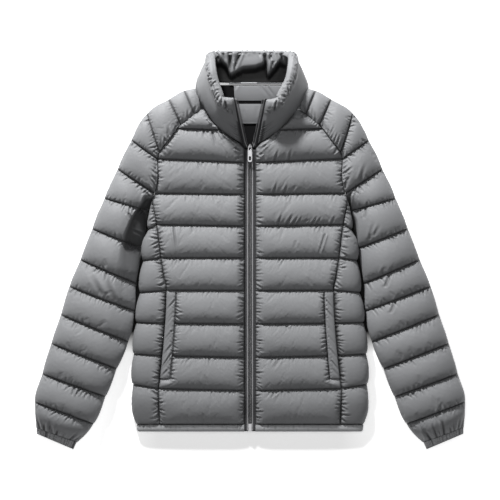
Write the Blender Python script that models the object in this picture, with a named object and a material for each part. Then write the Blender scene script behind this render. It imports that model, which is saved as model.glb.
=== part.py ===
"""A puffer jacket laid flat on its back: quilted panels, raglan sleeves, stand-up collar and front zip.

Lengths in the tables are millimetres and go into Blender as metres. X runs to the wearer's left, Y from the
hem to the collar, Z up from the surface that the jacket lies on. Tables give the wearer's left half, and the
right half is its mirror image. Each piece is a closed wall, a gap away from the pieces it is sewn to.
"""

import bmesh
import bpy
import numpy as np
from mathutils import Vector

MM = 0.001
SEAM_GAP = 0.3  # between two pieces along a seam
SLANTED_GAP = 0.7  # the same, measured along X where a seam runs at a slant

BACK_LOFT = 16.0  # the back panel's top at the middle of a channel
BACK_SEAM = 10.0  # its top on a quilt line and along its edges
LINE_LIFT = 4.0  # how far a quilt line is pulled up off the surface
FRONT_REST = 18.9  # the underside of the front panels, over the back and its lining
SEAM_WALL = 6.0  # a quilted wall where it is sewn
FRONT_LOFT = 19.0  # what the filling adds to that in the middle of a channel
LINE_SHARE = 0.35  # the part of that which is left on a quilt line
NECK_LIFT = 8.0  # how far the upper layers rise towards the collar
HEM_DROP = 9.5  # how far the last channel's front comes down to the hem
HEM_THIN = 0.42  # the share of their height that the back and the sides lose there
SCALLOP = 3.0  # how far a channel bulges past its quilt lines at a sleeve's edge
BODY_SCALLOP = 1.8  # the same at the body's edge
UNDERARM_Y = 94.2  # where the raglan, side-front and underarm seams meet
BACK_SHARE = 0.44  # how far the back reaches under a side panel, as a share of that panel's width
ZIP_EDGE = 10.6  # half the width between the fronts, where the zip lies
TAPE_INNER = 3.5  # the tape's inner edge, from the middle of the zip
TAPE_WALL = 1.2
COIL_WALL = 2.6
COIL_UNDER = 0.8  # how far the coil reaches below the tape's underside
SLIDER_Y = 195.0
HEM_TOP = -323.0
HEM_BOTTOM = -336.5


def columns(names, *rows):
    """A table as a dictionary of named columns."""
    return dict(zip(names.split(), np.array(rows, float).T))


# The ends of the front's quilt lines, hem to neck. The last is the top corner, where neck and raglan meet.
FRONT_LINES = columns(
    "seam_y zip_y",
    (-322.5, -322.5),
    (-256.0, -260.0),
    (-195.0, -198.0),
    (-134.5, -136.0),
    (-73.1, -73.8),
    (-13.0, -13.0),
    (49.0, 46.0),
    (107.0, 105.0),
    (171.0, 164.0),
    (227.0, 224.0),
    (262.0, 262.0),
)
# The front panel's edges: the zip edge and neck seam, then the side-front and raglan seams.
FRONT_INNER = columns(
    "y x",
    (-330.0, ZIP_EDGE),
    (188.0, ZIP_EDGE),
    (197.0, 17.5),
    (212.0, 37.0),
    (228.8, 58.5),
    (247.4, 75.5),
    (262.0, 85.0),
)
FRONT_OUTER = columns(
    "y x",
    (-323.0, 167.6),
    (-258.0, 170.0),
    (-236.0, 167.0),
    (-69.0, 155.1),
    (-48.0, 159.6),
    (2.0, 167.0),
    (48.0, 173.0),
    (UNDERARM_Y, 181.0),
    (107.0, 177.0),
    (137.6, 172.1),
    (171.0, 171.5),
    (183.3, 168.0),
    (208.3, 150.7),
    (234.7, 128.0),
    (254.3, 103.0),
    (262.0, 92.0),
)
BODY_EDGE = columns(
    "y x",
    (-323.0, 211.0),
    (-294.0, 217.0),
    (-250.0, 217.5),
    (-195.0, 216.0),
    (-137.6, 211.0),
    (-81.0, 205.0),
    (-20.5, 199.0),
    (22.0, 195.5),
    (40.0, 190.5),
    (UNDERARM_Y, 182.0),
)
# The sleeve's quilt lines, neck to cuff: where each meets the outer fold, then the front seam or underarm,
# then the same on the back. From the underarm on, front and back end at one place.
SLEEVE_LINES = columns(
    "fold_x fold_y front_x front_y back_x back_y",
    (103.5, 302.0, 92.0, 262.0, 92.0, 308.5),
    (122.0, 297.6, 103.0, 254.3, 101.0, 295.0),
    (150.7, 281.6, 128.0, 234.7, 122.0, 262.0),
    (190.7, 255.8, 168.0, 183.3, 150.0, 215.0),
    (220.4, 205.9, 171.5, 171.0, 163.0, 180.0),
    (246.1, 152.5, 177.0, 107.0, 172.0, 125.0),
    (270.8, 97.7, 190.0, 75.0, 190.0, 75.0),
    (293.5, 41.3, 202.0, 5.0, 202.0, 5.0),
    (315.3, -16.0, 213.0, -60.5, 213.0, -60.5),
    (335.9, -65.8, 215.5, -112.0, 215.5, -112.0),
    (351.7, -118.3, 227.5, -168.7, 227.5, -168.7),
    (369.6, -171.7, 248.5, -219.1, 248.5, -219.1),
    (386.3, -228.0, 269.3, -271.0, 269.3, -271.0),
    (400.3, -279.9, 291.5, -321.4, 291.5, -321.4),
    (398.2, -328.8, 322.7, -356.9, 322.7, -356.9),
)
UNDERARM_LINE = 5.4  # where the raglan seams end, counted in sleeve lines
CLOSED_LINE = 6.0  # from this line the sleeve's front and back are one tube
UNDERARM_SET = 2.0  # how far the back seam ends outside the front one there
CUFF_END = columns("fold_x fold_y inner_x inner_y", (398.0, -340.0, 328.5, -369.5))
# The collar's middle surface, front edge to centre back: its seam, then its rim.
COLLAR = columns(
    "seam_x seam_y seam_z rim_x rim_y rim_z thick",
    (14.5, 200.5, 29.5, 32.0, 281.5, 80.0, 1.0),
    (36.5, 214.5, 33.0, 40.0, 284.5, 85.0, 1.0),
    (57.0, 230.8, 35.0, 48.0, 288.0, 88.0, 1.0),
    (73.0, 249.0, 35.5, 53.0, 298.0, 87.0, 1.0),
    (83.5, 264.8, 35.0, 57.0, 311.0, 83.0, 1.0),
    (93.5, 284.0, 31.0, 62.5, 330.0, 71.0, 1.0),
    (98.5, 302.0, 22.0, 69.0, 350.0, 46.0, 1.0),
    (90.0, 316.0, 15.0, 71.0, 364.0, 20.0, 1.2),
    (62.0, 313.5, 14.5, 56.0, 367.5, 12.0, 1.5),
    (31.0, 312.5, 14.5, 28.0, 368.5, 10.5, 1.5),
    (0.0, 312.2, 14.5, 0.0, 369.0, 10.5, 1.5),
)
COLLAR_LEVELS = (0.0, 0.2, 0.5, 0.8, 1.0)
COLLAR_LOFT = (3.0, 5.5, 7.0, 6.0, 3.5)  # the outer collar's wall at each level
FACING_WALL = (1.6, 2.2, 2.6, 2.6, 3.0)
COLLAR_BOW = 3.0  # how far the collar's middle stands out from a straight line

# The hem band's path, zip edge to centre back, as a section that is folded flat at the sides.
HEM_PATH = columns(
    "outer_x outer_z inner_x inner_z",
    (10.9, 16.0, 10.9, 8.4),
    (40.0, 17.5, 40.0, 8.4),
    (100.0, 17.5, 100.0, 8.4),
    (160.0, 17.0, 160.0, 8.4),
    (195.0, 16.0, 192.0, 8.4),
    (208.0, 13.0, 201.0, 8.2),
    (211.0, 8.0, 204.0, 7.6),
    (208.0, 2.0, 201.0, 7.2),
    (195.0, 0.0, 192.0, 7.0),
    (100.0, 0.0, 100.0, 7.0),
    (0.0, 0.0, 0.0, 7.0),
)
HEM_SHARES = (1.0, 1.0, 0.985)  # the band's width at its seam, middle and edge
CUFF_SECTION = columns(
    "share height",
    (0.0, 0.0),
    (0.06, 5.5),
    (0.5, 8.5),
    (0.94, 5.5),
    (1.0, 0.0),
)
CUFF_INSIDE = 0.9  # the width of a cuff's hollow, as a share of the cuff's
LINING = columns(
    "y half_width",
    (165.0, 50.0),
    (215.0, 68.0),
    (262.0, 76.0),
    (309.0, 82.0),
)
LINING_REST = BACK_LOFT + 0.4
LINING_WALL = 2.0
NECK_TAPE_LOW = (-39.0, 307.5, LINING_REST + LINING_WALL + 0.3)
NECK_TAPE_HIGH = (59.5, 313.0, LINING_REST + LINING_WALL + 1.5)
LOOP_LOW = (-17.0, 303.5, NECK_TAPE_HIGH[2] + 0.3)
LOOP_HIGH = (13.0, 310.0, NECK_TAPE_HIGH[2] + 1.7)
# The inner edge of the zip's left coil, hem to collar. Below ZIP_OPENS the two halves meet.
ZIP_OPENS = 189.0
ZIP_PATH = columns(
    "y x z",
    (-340.0, 0.0, 0.0),
    (-322.5, 0.0, 0.0),
    (-300.0, 0.0, 0.0),
    (-275.0, 0.0, 0.0),
    (-258.0, 0.0, 0.0),
    (-150.0, 0.0, 0.0),
    (0.0, 0.0, 0.0),
    (110.0, 0.0, 0.0),
    (150.0, 0.0, 0.0),
    (188.0, 0.0, 0.0),
    (193.0, 0.6, 27.0),
    (197.0, 2.4, 27.3),
    (202.0, 4.6, 27.8),
    (241.0, 13.3, 53.8),
    (280.5, 22.0, 79.5),
)
ZIP_RISE = 2.6  # the tape's underside over the front panels'
OPEN_TAPE = 9.2  # the tape's outer edge beside the collar, from the coil's inner edge
TAPE_STRIP = (TAPE_INNER, ZIP_EDGE - SEAM_GAP, 0.0, TAPE_WALL)
COIL_STRIP = (SEAM_GAP / 2, TAPE_INNER - SEAM_GAP, -COIL_UNDER, COIL_WALL - COIL_UNDER)
COIL_BOTTOM = -320.5
ZIP_BOX_LOW = (-3.1, -335.8, 11.0)
ZIP_BOX_HIGH = (3.1, -321.5, 15.0)
# The slider is two plates, a post and an arch. The tab's bar turns on an axis along X under the arch.
SLIDER_LONG = 12.0
SLIDER_WIDE = 9.2
PLATE = 1.2
PLATE_TOP = 31.2
PLATE_BOTTOM = 23.8
POST = 3.0
ARCH_LONG = 8.0
ARCH_WIDE = 3.0
ARCH_HIGH = 3.6
TAB_AXIS_Z = 32.4
TAB_WALL = 1.3
TAB_WIDE = 9.0
TAB_LONG = 23.0
TAB_CLEAR = 0.6
TAB_CORNER = 2.0
HOLE = 1.4  # the radius of the hole near its end
HOLE_FROM_END = 4.5
WELT_GAP = 0.4
WELT_WALL = 3.4

CHANNEL_STEPS = (0.0, 0.22, 0.78)  # sections in each channel, as shares of the way to the next line
LOWER_STEPS = (0.0, 0.22, 0.78, 1.0, 1.3, 1.78, 2.0, 2.22, 2.78, 3.0, 3.22, 3.78, 3.95, 4.0, 4.22, 4.78)
UPPER_STEPS = (5.0, 5.22, 5.78, 6.0, 6.22, 6.78, 7.0, 7.22, 7.78, 8.0, 8.11, 8.22, 8.4, 8.55, 8.78, 9.0)
NECK_STEPS = (9.22, 9.5, 9.78, 9.89, 10.0)
FRONT_STEPS = LOWER_STEPS + UPPER_STEPS + NECK_STEPS
UNDERARM_STEP = 6.78
WELT_FROM = 1.3
WELT_TO = 3.95

# How full the front panel is at each of its columns, from the zip edge to the outer seam.
FRONT_COLUMNS = columns(
    "share full",
    (0.0, 0.0),
    (0.08, 0.75),
    (0.3, 1.0),
    (0.6, 1.0),
    (0.885, 0.75),
    (1.0, 0.0),
)
WELT_FULLNESS = 0.3  # at the column under a welt's inner edge
BACK_COLUMNS = columns(
    "share full",
    (-1.0, 0.0),
    (-0.93, 0.8),
    (-0.6, 1.0),
    (-0.2, 1.0),
    (0.2, 1.0),
    (0.6, 1.0),
    (0.93, 0.8),
    (1.0, 0.0),
)
# A side panel's section, from the side-front seam round the body's edge: the share of its width and the
# height of its outer and inner surfaces, at the middle of a channel.
SIDE_SECTION = columns(
    "outer_share outer_z inner_share inner_z",
    (0.0, 26.0, 0.0, 19.5),
    (0.2, 36.0, 0.15, 21.5),
    (0.65, 36.0, 0.35, 21.0),
    (0.92, 28.0, 0.5, 19.5),
    (1.0, 16.0, 0.56, 15.0),
    (0.9, 4.0, 0.5, 11.0),
    (0.45, 2.0, 0.45, 9.0),
)
# A sleeve's section: the share of its width from the underarm to the outer fold, and how full it is there.
SLEEVE_SECTION = columns(
    "share full",
    (0.0, 0.0),
    (0.05, 0.6),
    (0.25, 1.0),
    (0.6, 1.0),
    (0.93, 0.65),
    (1.0, 0.0),
)
SLEEVE_MIDDLE = 19.0  # the height at which a sleeve's front and back meet
CUFF_DROP = 9.5  # how much lower that is at the cuff
SLEEVE_SLIT = 1.0  # half the space between them
SLEEVE_LOFT = 25.0  # the front of a sleeve above that height, at the middle of a channel
SLEEVE_LINE_SHARE = 0.45  # the part of that which is left on a quilt line
SLEEVE_END_LOSS = 0.35  # the share of it that the last channel loses as it gathers into the cuff
SLEEVE_WALL = 4.0  # the wall at the outer fold and, below the underarm, at the inner edge
SLEEVE_UNDER = 1.35  # how fast the back of the sleeve comes down to the surface from its edges
LAST_CHANNEL = 13  # the sleeve line where the last channel starts
SEAM_SHARE = 0.7  # how much of the neck lift a section takes from its seam, and the rest from its fold


def smooth(share):
    share = np.clip(share, 0, 1)
    return share * share * (3 - 2 * share)


def read(table, name, by, value):
    """A table's column at a value of another column, which may rise or fall."""
    order = np.argsort(table[by])
    return float(np.interp(value, table[by][order], table[name][order]))


def at_line(table, name, line):
    """A table's column at a line number that may lie between two rows."""
    return float(np.interp(line, np.arange(len(table[name])), table[name]))


def fullness(line):
    """0 on a quilt line and 1 in the middle of a channel."""
    to_line = min(line % 1, 1 - line % 1)
    return min(1.0, to_line / 0.2) ** 0.7


def neck_lift(y):
    return NECK_LIFT * smooth((y - 110) / 130)


def hem_share(y):
    """1 at the hem seam, 0 from the first quilt line up."""
    return smooth((FRONT_LINES["zip_y"][1] - y) / 60)


def new_material(name, colour, roughness, metallic=0.0):
    material = bpy.data.materials.new(name)
    material.use_nodes = True
    shader = material.node_tree.nodes["Principled BSDF"]
    shader.inputs["Base Color"].default_value = (*colour, 1)
    shader.inputs["Roughness"].default_value = roughness
    shader.inputs["Metallic"].default_value = metallic
    return material


def finish(name, mesh, material):
    """Turns a bmesh in millimetres into an object in metres, its faces pointing out."""
    bmesh.ops.recalc_face_normals(mesh, faces=mesh.faces)
    bmesh.ops.scale(mesh, vec=(MM, MM, MM), verts=mesh.verts)
    data = bpy.data.meshes.new(name)
    mesh.to_mesh(data)
    mesh.free()
    data.shade_smooth()
    data.materials.append(material)
    piece = bpy.data.objects.new(name, data)
    bpy.context.scene.collection.objects.link(piece)
    return piece


def wall(name, rows, cols, place, material, closed_from=None):
    """A closed wall. place(row, column, inner) gives a point of its outer or its inner surface.

    From the row closed_from on, the first and last columns meet, and the wall is a tube.
    """
    mesh = bmesh.new()
    bmesh.ops.create_grid(mesh, x_segments=cols - 1, y_segments=rows - 1, size=0.5)
    for vertex in mesh.verts:
        vertex.co = ((vertex.co.x + 0.5) * (cols - 1), (vertex.co.y + 0.5) * (rows - 1), 0)
    inner = set(mesh.verts)
    bmesh.ops.extrude_face_region(mesh, geom=mesh.faces[:])
    cells = {vertex: (round(vertex.co.y), round(vertex.co.x)) for vertex in mesh.verts}
    if closed_from is not None:
        seam = [face for face in mesh.faces if on_closed_edge(face, cells, cols, closed_from)]
        bmesh.ops.delete(mesh, geom=seam, context="FACES_ONLY")
    for vertex in mesh.verts:
        row, column = cells[vertex]
        vertex.co = Vector(place(row, column, vertex in inner))
    bmesh.ops.remove_doubles(mesh, verts=mesh.verts, dist=0.001)
    return finish(name, mesh, material)


def on_closed_edge(face, cells, cols, closed_from):
    places = [cells[vertex] for vertex in face.verts]
    at_edge = {column for _, column in places} in ({0}, {cols - 1})
    return at_edge and min(row for row, _ in places) >= closed_from


def box(mesh, low, high):
    """Adds a box between two corners."""
    made = bmesh.ops.create_cube(mesh, size=1.0)["verts"]
    size = Vector(high) - Vector(low)
    bmesh.ops.scale(mesh, vec=size, verts=made)
    bmesh.ops.translate(mesh, vec=(Vector(high) + Vector(low)) / 2, verts=made)


def front_point(line, share, inner):
    """A point of the left front panel, by quilt line and share of the way from zip edge to outer edge."""
    seam_y = at_line(FRONT_LINES, "seam_y", line)
    zip_y = at_line(FRONT_LINES, "zip_y", line)
    y = zip_y + (seam_y - zip_y) * share
    near = read(FRONT_INNER, "x", "y", y)
    far = read(FRONT_OUTER, "x", "y", y)
    x = near + (far - near) * share
    full = fullness(line)
    rest = FRONT_REST + neck_lift(y) - HEM_DROP * hem_share(y)
    if inner:
        return x, y, rest + LINE_LIFT / 2 * (1 - full)
    across = read(FRONT_COLUMNS, "full", "share", share)
    if WELT_FROM <= line <= WELT_TO and share > 0.8:
        across = WELT_FULLNESS * (share < 0.95)
    loft = FRONT_LOFT * across * (LINE_SHARE + (1 - LINE_SHARE) * full)
    return x, y, rest + SEAM_WALL + loft * (1 - 0.4 * hem_share(y))


def mirrored(side, point):
    return side * point[0], point[1], point[2]


def front_panel(name, side, material):
    def place(row, column, inner):
        return mirrored(side, front_point(FRONT_STEPS[row], FRONT_COLUMNS["share"][column], inner))

    return wall(name, len(FRONT_STEPS), len(FRONT_COLUMNS["share"]), place, material)


def body_edge(line, y):
    """The outermost X of the body, which bulges between quilt lines and less so near the underarm."""
    below_underarm = smooth((UNDERARM_Y - y) / 60)
    return read(BODY_EDGE, "x", "y", y) + BODY_SCALLOP * fullness(line) * below_underarm


def side_panel(name, side, material):
    steps = [step for step in FRONT_STEPS if step <= UNDERARM_STEP]

    def place(row, column, inner):
        line = steps[row]
        y = at_line(FRONT_LINES, "seam_y", line)
        near = read(FRONT_OUTER, "x", "y", y) + SEAM_GAP
        far = body_edge(line, y)
        surface = "inner" if inner else "outer"
        share = SIDE_SECTION[surface + "_share"][column]
        z = SIDE_SECTION[surface + "_z"][column]
        if not inner:
            z = SLEEVE_MIDDLE + (z - SLEEVE_MIDDLE) * (0.75 + 0.25 * fullness(line))
        return mirrored(side, (near + (far - near) * share, y, z * (1 - HEM_THIN * hem_share(y))))

    return wall(name, len(steps), len(SIDE_SECTION["outer_z"]), place, material)


def sleeve_steps():
    """The sleeve's sections as line numbers. Those along the raglan seam meet the front panel's."""
    along_front = [step for step in reversed(FRONT_STEPS) if step >= UNDERARM_STEP]
    shared = [read_sleeve_line(at_line(FRONT_LINES, "seam_y", step)) for step in along_front]
    last = len(SLEEVE_LINES["fold_x"]) - 1
    tube = [line + step for line in range(int(CLOSED_LINE), last) for step in CHANNEL_STEPS]
    return shared + tube + [last]


def read_sleeve_line(front_y):
    """The sleeve line whose front end is at this height on the raglan seam."""
    if front_y < SLEEVE_LINES["front_y"][5]:
        return UNDERARM_LINE
    lines = np.arange(6)
    return float(np.interp(-front_y, -SLEEVE_LINES["front_y"][:6], lines))


def sleeve_ends(line):
    """Where a section of the left sleeve meets its fold, its front seam and its back seam, in plan."""
    fold = np.array([at_line(SLEEVE_LINES, "fold_x", line), at_line(SLEEVE_LINES, "fold_y", line)])
    front = np.array([at_line(SLEEVE_LINES, "front_x", line), at_line(SLEEVE_LINES, "front_y", line)])
    back = np.array([at_line(SLEEVE_LINES, "back_x", line), at_line(SLEEVE_LINES, "back_y", line)])
    if line <= 5:
        front[0] = read(FRONT_OUTER, "x", "y", front[1])
    elif line < CLOSED_LINE:
        front[:] = read(FRONT_OUTER, "x", "y", UNDERARM_Y), UNDERARM_Y
        back[:] = front
        back[0] += UNDERARM_SET
        front[0] += 2 * SEAM_GAP
    bulge = (fold - front) / np.linalg.norm(fold - front) * SCALLOP * fullness(line)
    return fold + bulge, front, back


def sleeve_middle(line):
    """The height at which front and back meet, which comes down towards the cuff."""
    return SLEEVE_MIDDLE - CUFF_DROP * smooth((line - LAST_CHANNEL + 0.4) / 1.4)


def sleeve(name, side, material):
    steps = sleeve_steps()
    shares = SLEEVE_SECTION["share"]
    half = len(shares)
    closed_from = next(i for i, step in enumerate(steps) if step >= CLOSED_LINE)

    def place(row, column, inner):
        line = steps[row]
        fold, front, back = sleeve_ends(line)
        on_front = column < half
        index = column if on_front else 2 * (half - 1) - column
        share = shares[index]
        full = SLEEVE_SECTION["full"][index]
        is_open = line < CLOSED_LINE
        seam = front if on_front else back
        if is_open:
            seam = seam + (SLANTED_GAP, 0)
        puff = fullness(line)
        middle = sleeve_middle(line)
        lift = neck_lift(fold[1] * (1 - SEAM_SHARE) + seam[1] * SEAM_SHARE)
        if inner:
            reach = SLEEVE_WALL if share == 1.0 else 0.0
            if not is_open and share == 0.0:
                reach = -SLEEVE_WALL
            across = fold - seam
            width = np.linalg.norm(across)
            spot = seam + across * (share - reach / width)
            up = SLEEVE_SLIT if 0 < index < half - 1 or (is_open and index == 0) else 0.0
            z = middle + (up if on_front else -up)
            return mirrored(side, (*spot, z + lift * (on_front or index == half - 1)))
        spot = seam + (fold - seam) * share
        if on_front:
            loft = SLEEVE_LOFT * full * (SLEEVE_LINE_SHARE + (1 - SLEEVE_LINE_SHARE) * puff)
            loft *= 1 - SLEEVE_END_LOSS * smooth(line - LAST_CHANNEL)
            if is_open and index < half - 1:
                loft = SEAM_WALL + 1 + (loft - SEAM_WALL) * full
            return mirrored(side, (*spot, middle + loft + lift))
        under = middle * min(1.0, full * SLEEVE_UNDER) - LINE_LIFT * (1 - puff) * (full > 0.5)
        if is_open and index == 0:
            under = SLEEVE_SLIT + SEAM_WALL
        return mirrored(side, (*spot, middle - under))

    return wall(name, len(steps), 2 * half - 1, place, material, closed_from)


def back_panel(name, material):
    steps = [step for step in FRONT_STEPS if step <= UNDERARM_STEP]
    lines = [line for line in reversed(sleeve_steps()) if line <= 5]
    shares = BACK_COLUMNS["share"]

    def place(row, column, inner):
        share = shares[column]
        if row < len(steps):
            line = steps[row]
            y = at_line(FRONT_LINES, "seam_y", line)
            near = read(FRONT_OUTER, "x", "y", y)
            edge = near + (body_edge(line, y) - near) * BACK_SHARE
        else:
            line = lines[row - len(steps)]
            y = at_line(SLEEVE_LINES, "back_y", line)
            edge = at_line(SLEEVE_LINES, "back_x", line)
        full = fullness(line)
        across = BACK_COLUMNS["full"][column]
        low = LINE_LIFT * (1 - full * across)
        high = BACK_SEAM + (BACK_LOFT - BACK_SEAM) * full * across
        low *= 1 - HEM_THIN * hem_share(y)
        high *= 1 - HEM_THIN * hem_share(y)
        return edge * share, y, low if inner else high

    return wall(name, len(steps) + len(lines), len(shares), place, material)


def collar_middle(station, level):
    """The collar's middle surface. Stations count from the centre back, negative on the wearer's right."""
    row = len(COLLAR["seam_x"]) - 1 - abs(station)
    seam = np.array([COLLAR["seam_x"][row], COLLAR["seam_y"][row], COLLAR["seam_z"][row]])
    rim = np.array([COLLAR["rim_x"][row], COLLAR["rim_y"][row], COLLAR["rim_z"][row]])
    point = seam + (rim - seam) * level
    if station < 0:
        point[0] *= -1
    return point


def collar_normal(station, level):
    """The way out of the neck at a point of the collar's middle surface."""
    most = len(COLLAR["seam_x"]) - 1
    along = collar_middle(min(station + 1, most), level) - collar_middle(max(station - 1, -most), level)
    up = collar_middle(station, 1.0) - collar_middle(station, 0.0)
    out = np.cross(up, along)
    return out / np.linalg.norm(out)


def collar_piece(name, inside, material):
    most = len(COLLAR["seam_x"]) - 1

    def place(row, column, inner):
        station = row - most
        level = COLLAR_LEVELS[column]
        bow = COLLAR_BOW * 4 * level * (1 - level)
        if inside:
            offset = -SEAM_GAP / 2 - (0 if inner else FACING_WALL[column])
        else:
            loft = COLLAR_LOFT[column] * COLLAR["thick"][most - abs(station)]
            offset = SEAM_GAP / 2 + (0 if inner else loft)
        point = collar_middle(station, level) + collar_normal(station, level) * (offset + bow)
        return point[0], point[1], max(point[2], 0.0)  # the rim rests on the surface behind the neck

    return wall(name, 2 * most + 1, len(COLLAR_LEVELS), place, material)


def hem_band(material):
    """One strip along the hem, from zip edge round the back to zip edge."""
    centre = len(HEM_PATH["outer_x"]) - 1
    levels = (HEM_TOP, (HEM_TOP + HEM_BOTTOM) / 2, HEM_BOTTOM)

    def place(row, column, inner):
        surface = "inner" if inner else "outer"
        station = centre - abs(row - centre)
        side = 1 if row > centre else -1
        x = HEM_PATH[surface + "_x"][station] * HEM_SHARES[column]
        return side * x, levels[column], HEM_PATH[surface + "_z"][station]

    return wall("hem_band", 2 * centre + 1, len(levels), place, material)


def cuff(name, side, material):
    """A flat ring of gathered band, sewn to the end of a sleeve."""
    last = len(SLEEVE_LINES["fold_x"]) - 1
    fold, inner_edge, _ = sleeve_ends(last)
    end_fold = np.array([CUFF_END["fold_x"][0], CUFF_END["fold_y"][0]])
    end_edge = np.array([CUFF_END["inner_x"][0], CUFF_END["inner_y"][0]])
    shares = CUFF_SECTION["share"]
    half = len(shares)
    middle = sleeve_middle(last)
    steps = (0.05, 0.5, 1.0)

    def place(row, column, inner):
        edge = inner_edge + (end_edge - inner_edge) * steps[row]
        across = fold + (end_fold - fold) * steps[row] - edge
        on_front = column < half
        index = column if on_front else 2 * (half - 1) - column
        share = shares[index]
        up = CUFF_SECTION["height"][index]
        if inner:
            share = 0.5 + (share - 0.5) * CUFF_INSIDE
            up = min(up, SLEEVE_SLIT)
        spot = edge + across * share
        return mirrored(side, (*spot, middle + (up if on_front else -up)))

    return wall(name, len(steps), 2 * half - 1, place, material, closed_from=0)


def pocket_welt(name, side, material):
    """A strip on the front panel's own points, beside the side-front seam."""
    steps = [step for step in FRONT_STEPS if WELT_FROM <= step <= WELT_TO]
    shares = FRONT_COLUMNS["share"][-2:]

    def place(row, column, inner):
        x, y, z = front_point(steps[row], shares[column], False)
        rise = WELT_GAP if inner else WELT_GAP + WELT_WALL
        return mirrored(side, (x, y, z + rise))

    return wall(name, len(steps), len(shares), place, material)


def back_lining(material):
    """The lining that shows in the neck opening, over the back panel."""
    def place(row, column, inner):
        y = LINING["y"][row]
        x = LINING["half_width"][row] * (column - 2) / 2
        return x, y, LINING_REST if inner else LINING_REST + LINING_WALL

    return wall("back_lining", len(LINING["y"]), 5, place, material)


def flat_strip(name, low, high, material):
    mesh = bmesh.new()
    box(mesh, low, high)
    return finish(name, mesh, material)


def zip_half(name, side, strip, bottom, material):
    """A strip along one side of the zip: its edges from the coil's inner edge, then its underside and top."""
    near, far, low, high = strip

    def place(row, column, inner):
        x, y, z = ZIP_PATH["x"][row], max(ZIP_PATH["y"][row], bottom), ZIP_PATH["z"][row]
        if y < ZIP_OPENS:
            z = FRONT_REST + neck_lift(y) - HEM_DROP * hem_share(y) + ZIP_RISE
        edge = far if y < ZIP_OPENS else min(far, OPEN_TAPE)
        return mirrored(side, (x + (edge if column else near), y, z + (low if inner else high)))

    return wall(name, len(ZIP_PATH["y"]), 2, place, material)


def clear_scene():
    for thing in list(bpy.data.objects):
        bpy.data.objects.remove(thing, do_unlink=True)


def unite(name, boxes, material):
    """One solid of several boxes, joined by Boolean unions, with softened edges."""
    pieces = [flat_strip(f"{name}_{number}", low, high, material) for number, (low, high) in enumerate(boxes)]
    whole, others = pieces[0], pieces[1:]
    for other in others:
        joined = whole.modifiers.new("join " + other.name, "BOOLEAN")
        joined.operation = "UNION"
        joined.object = other
        other.hide_render = True
        other.display_type = "WIRE"
    whole.name = name
    whole.data.name = name
    return whole


def zip_slider(material):
    """Two plates round the coils, a post between the parting coils, and an arch that carries the pull tab."""
    low_y, high_y = SLIDER_Y - SLIDER_LONG / 2, SLIDER_Y + SLIDER_LONG / 2
    half = SLIDER_WIDE / 2
    arch_low, arch_high = SLIDER_Y - ARCH_LONG / 2, SLIDER_Y + ARCH_LONG / 2
    arch_top = PLATE_TOP + ARCH_HIGH
    arch = ARCH_WIDE / 2
    inside_low, inside_high = PLATE_BOTTOM + PLATE / 2, PLATE_TOP - PLATE / 2
    boxes = (
        ((-half, low_y, PLATE_TOP - PLATE), (half, high_y, PLATE_TOP)),
        ((-half, low_y, PLATE_BOTTOM), (half, high_y, PLATE_BOTTOM + PLATE)),
        ((-POST / 2, high_y - POST, inside_low), (POST / 2, high_y - SEAM_GAP, inside_high)),
        ((-arch, arch_low, inside_high), (arch, arch_low + PLATE, arch_top - PLATE / 2)),
        ((-arch, arch_high - PLATE, inside_high), (arch, arch_high, arch_top - PLATE / 2)),
        ((-arch, arch_low, arch_top - PLATE), (arch, arch_high, arch_top)),
    )
    return unite("zip_slider", boxes, material)


def zip_pull_tab(material):
    """A plate with an eye at its top, whose bar passes under the slider's arch, and a hole near its end."""
    half = TAB_WIDE / 2
    low, high = TAB_AXIS_Z - TAB_WALL / 2, TAB_AXIS_Z + TAB_WALL / 2
    top, end = SLIDER_Y + TAB_WALL / 2, SLIDER_Y - TAB_LONG
    eye_end = SLIDER_Y - ARCH_LONG / 2 - TAB_WALL
    arm = ARCH_WIDE / 2 + TAB_CLEAR
    mesh = bmesh.new()
    hole_y = end + HOLE_FROM_END
    outline = [(half, top), (-half, top), (-half, end + TAB_CORNER), (TAB_CORNER - half, end)]
    outline += [(half - TAB_CORNER, end), (half, end + TAB_CORNER)]
    eye = [(arm, top - TAB_WALL), (arm, eye_end), (-arm, eye_end), (-arm, top - TAB_WALL)]
    hole = [(HOLE * np.sin(turn), hole_y - HOLE * np.cos(turn)) for turn in np.arange(8) * np.pi / 4]
    edges = []
    for loop in (outline, eye, hole):
        points = [mesh.verts.new((x, y, low)) for x, y in loop]
        edges += [mesh.edges.new((points[i - 1], points[i])) for i in range(len(points))]
    bmesh.ops.triangle_fill(mesh, edges=edges, use_beauty=True)
    raised = bmesh.ops.extrude_face_region(mesh, geom=mesh.faces[:])["geom"]
    lifted = [item for item in raised if isinstance(item, bmesh.types.BMVert)]
    bmesh.ops.translate(mesh, vec=(0, 0, high - low), verts=lifted)
    axis = Vector((0, SLIDER_Y, TAB_AXIS_Z))
    bmesh.ops.translate(mesh, vec=-axis, verts=mesh.verts)
    tab = finish("zip_pull_tab", mesh, material)
    tab.location = axis * MM
    return tab


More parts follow.
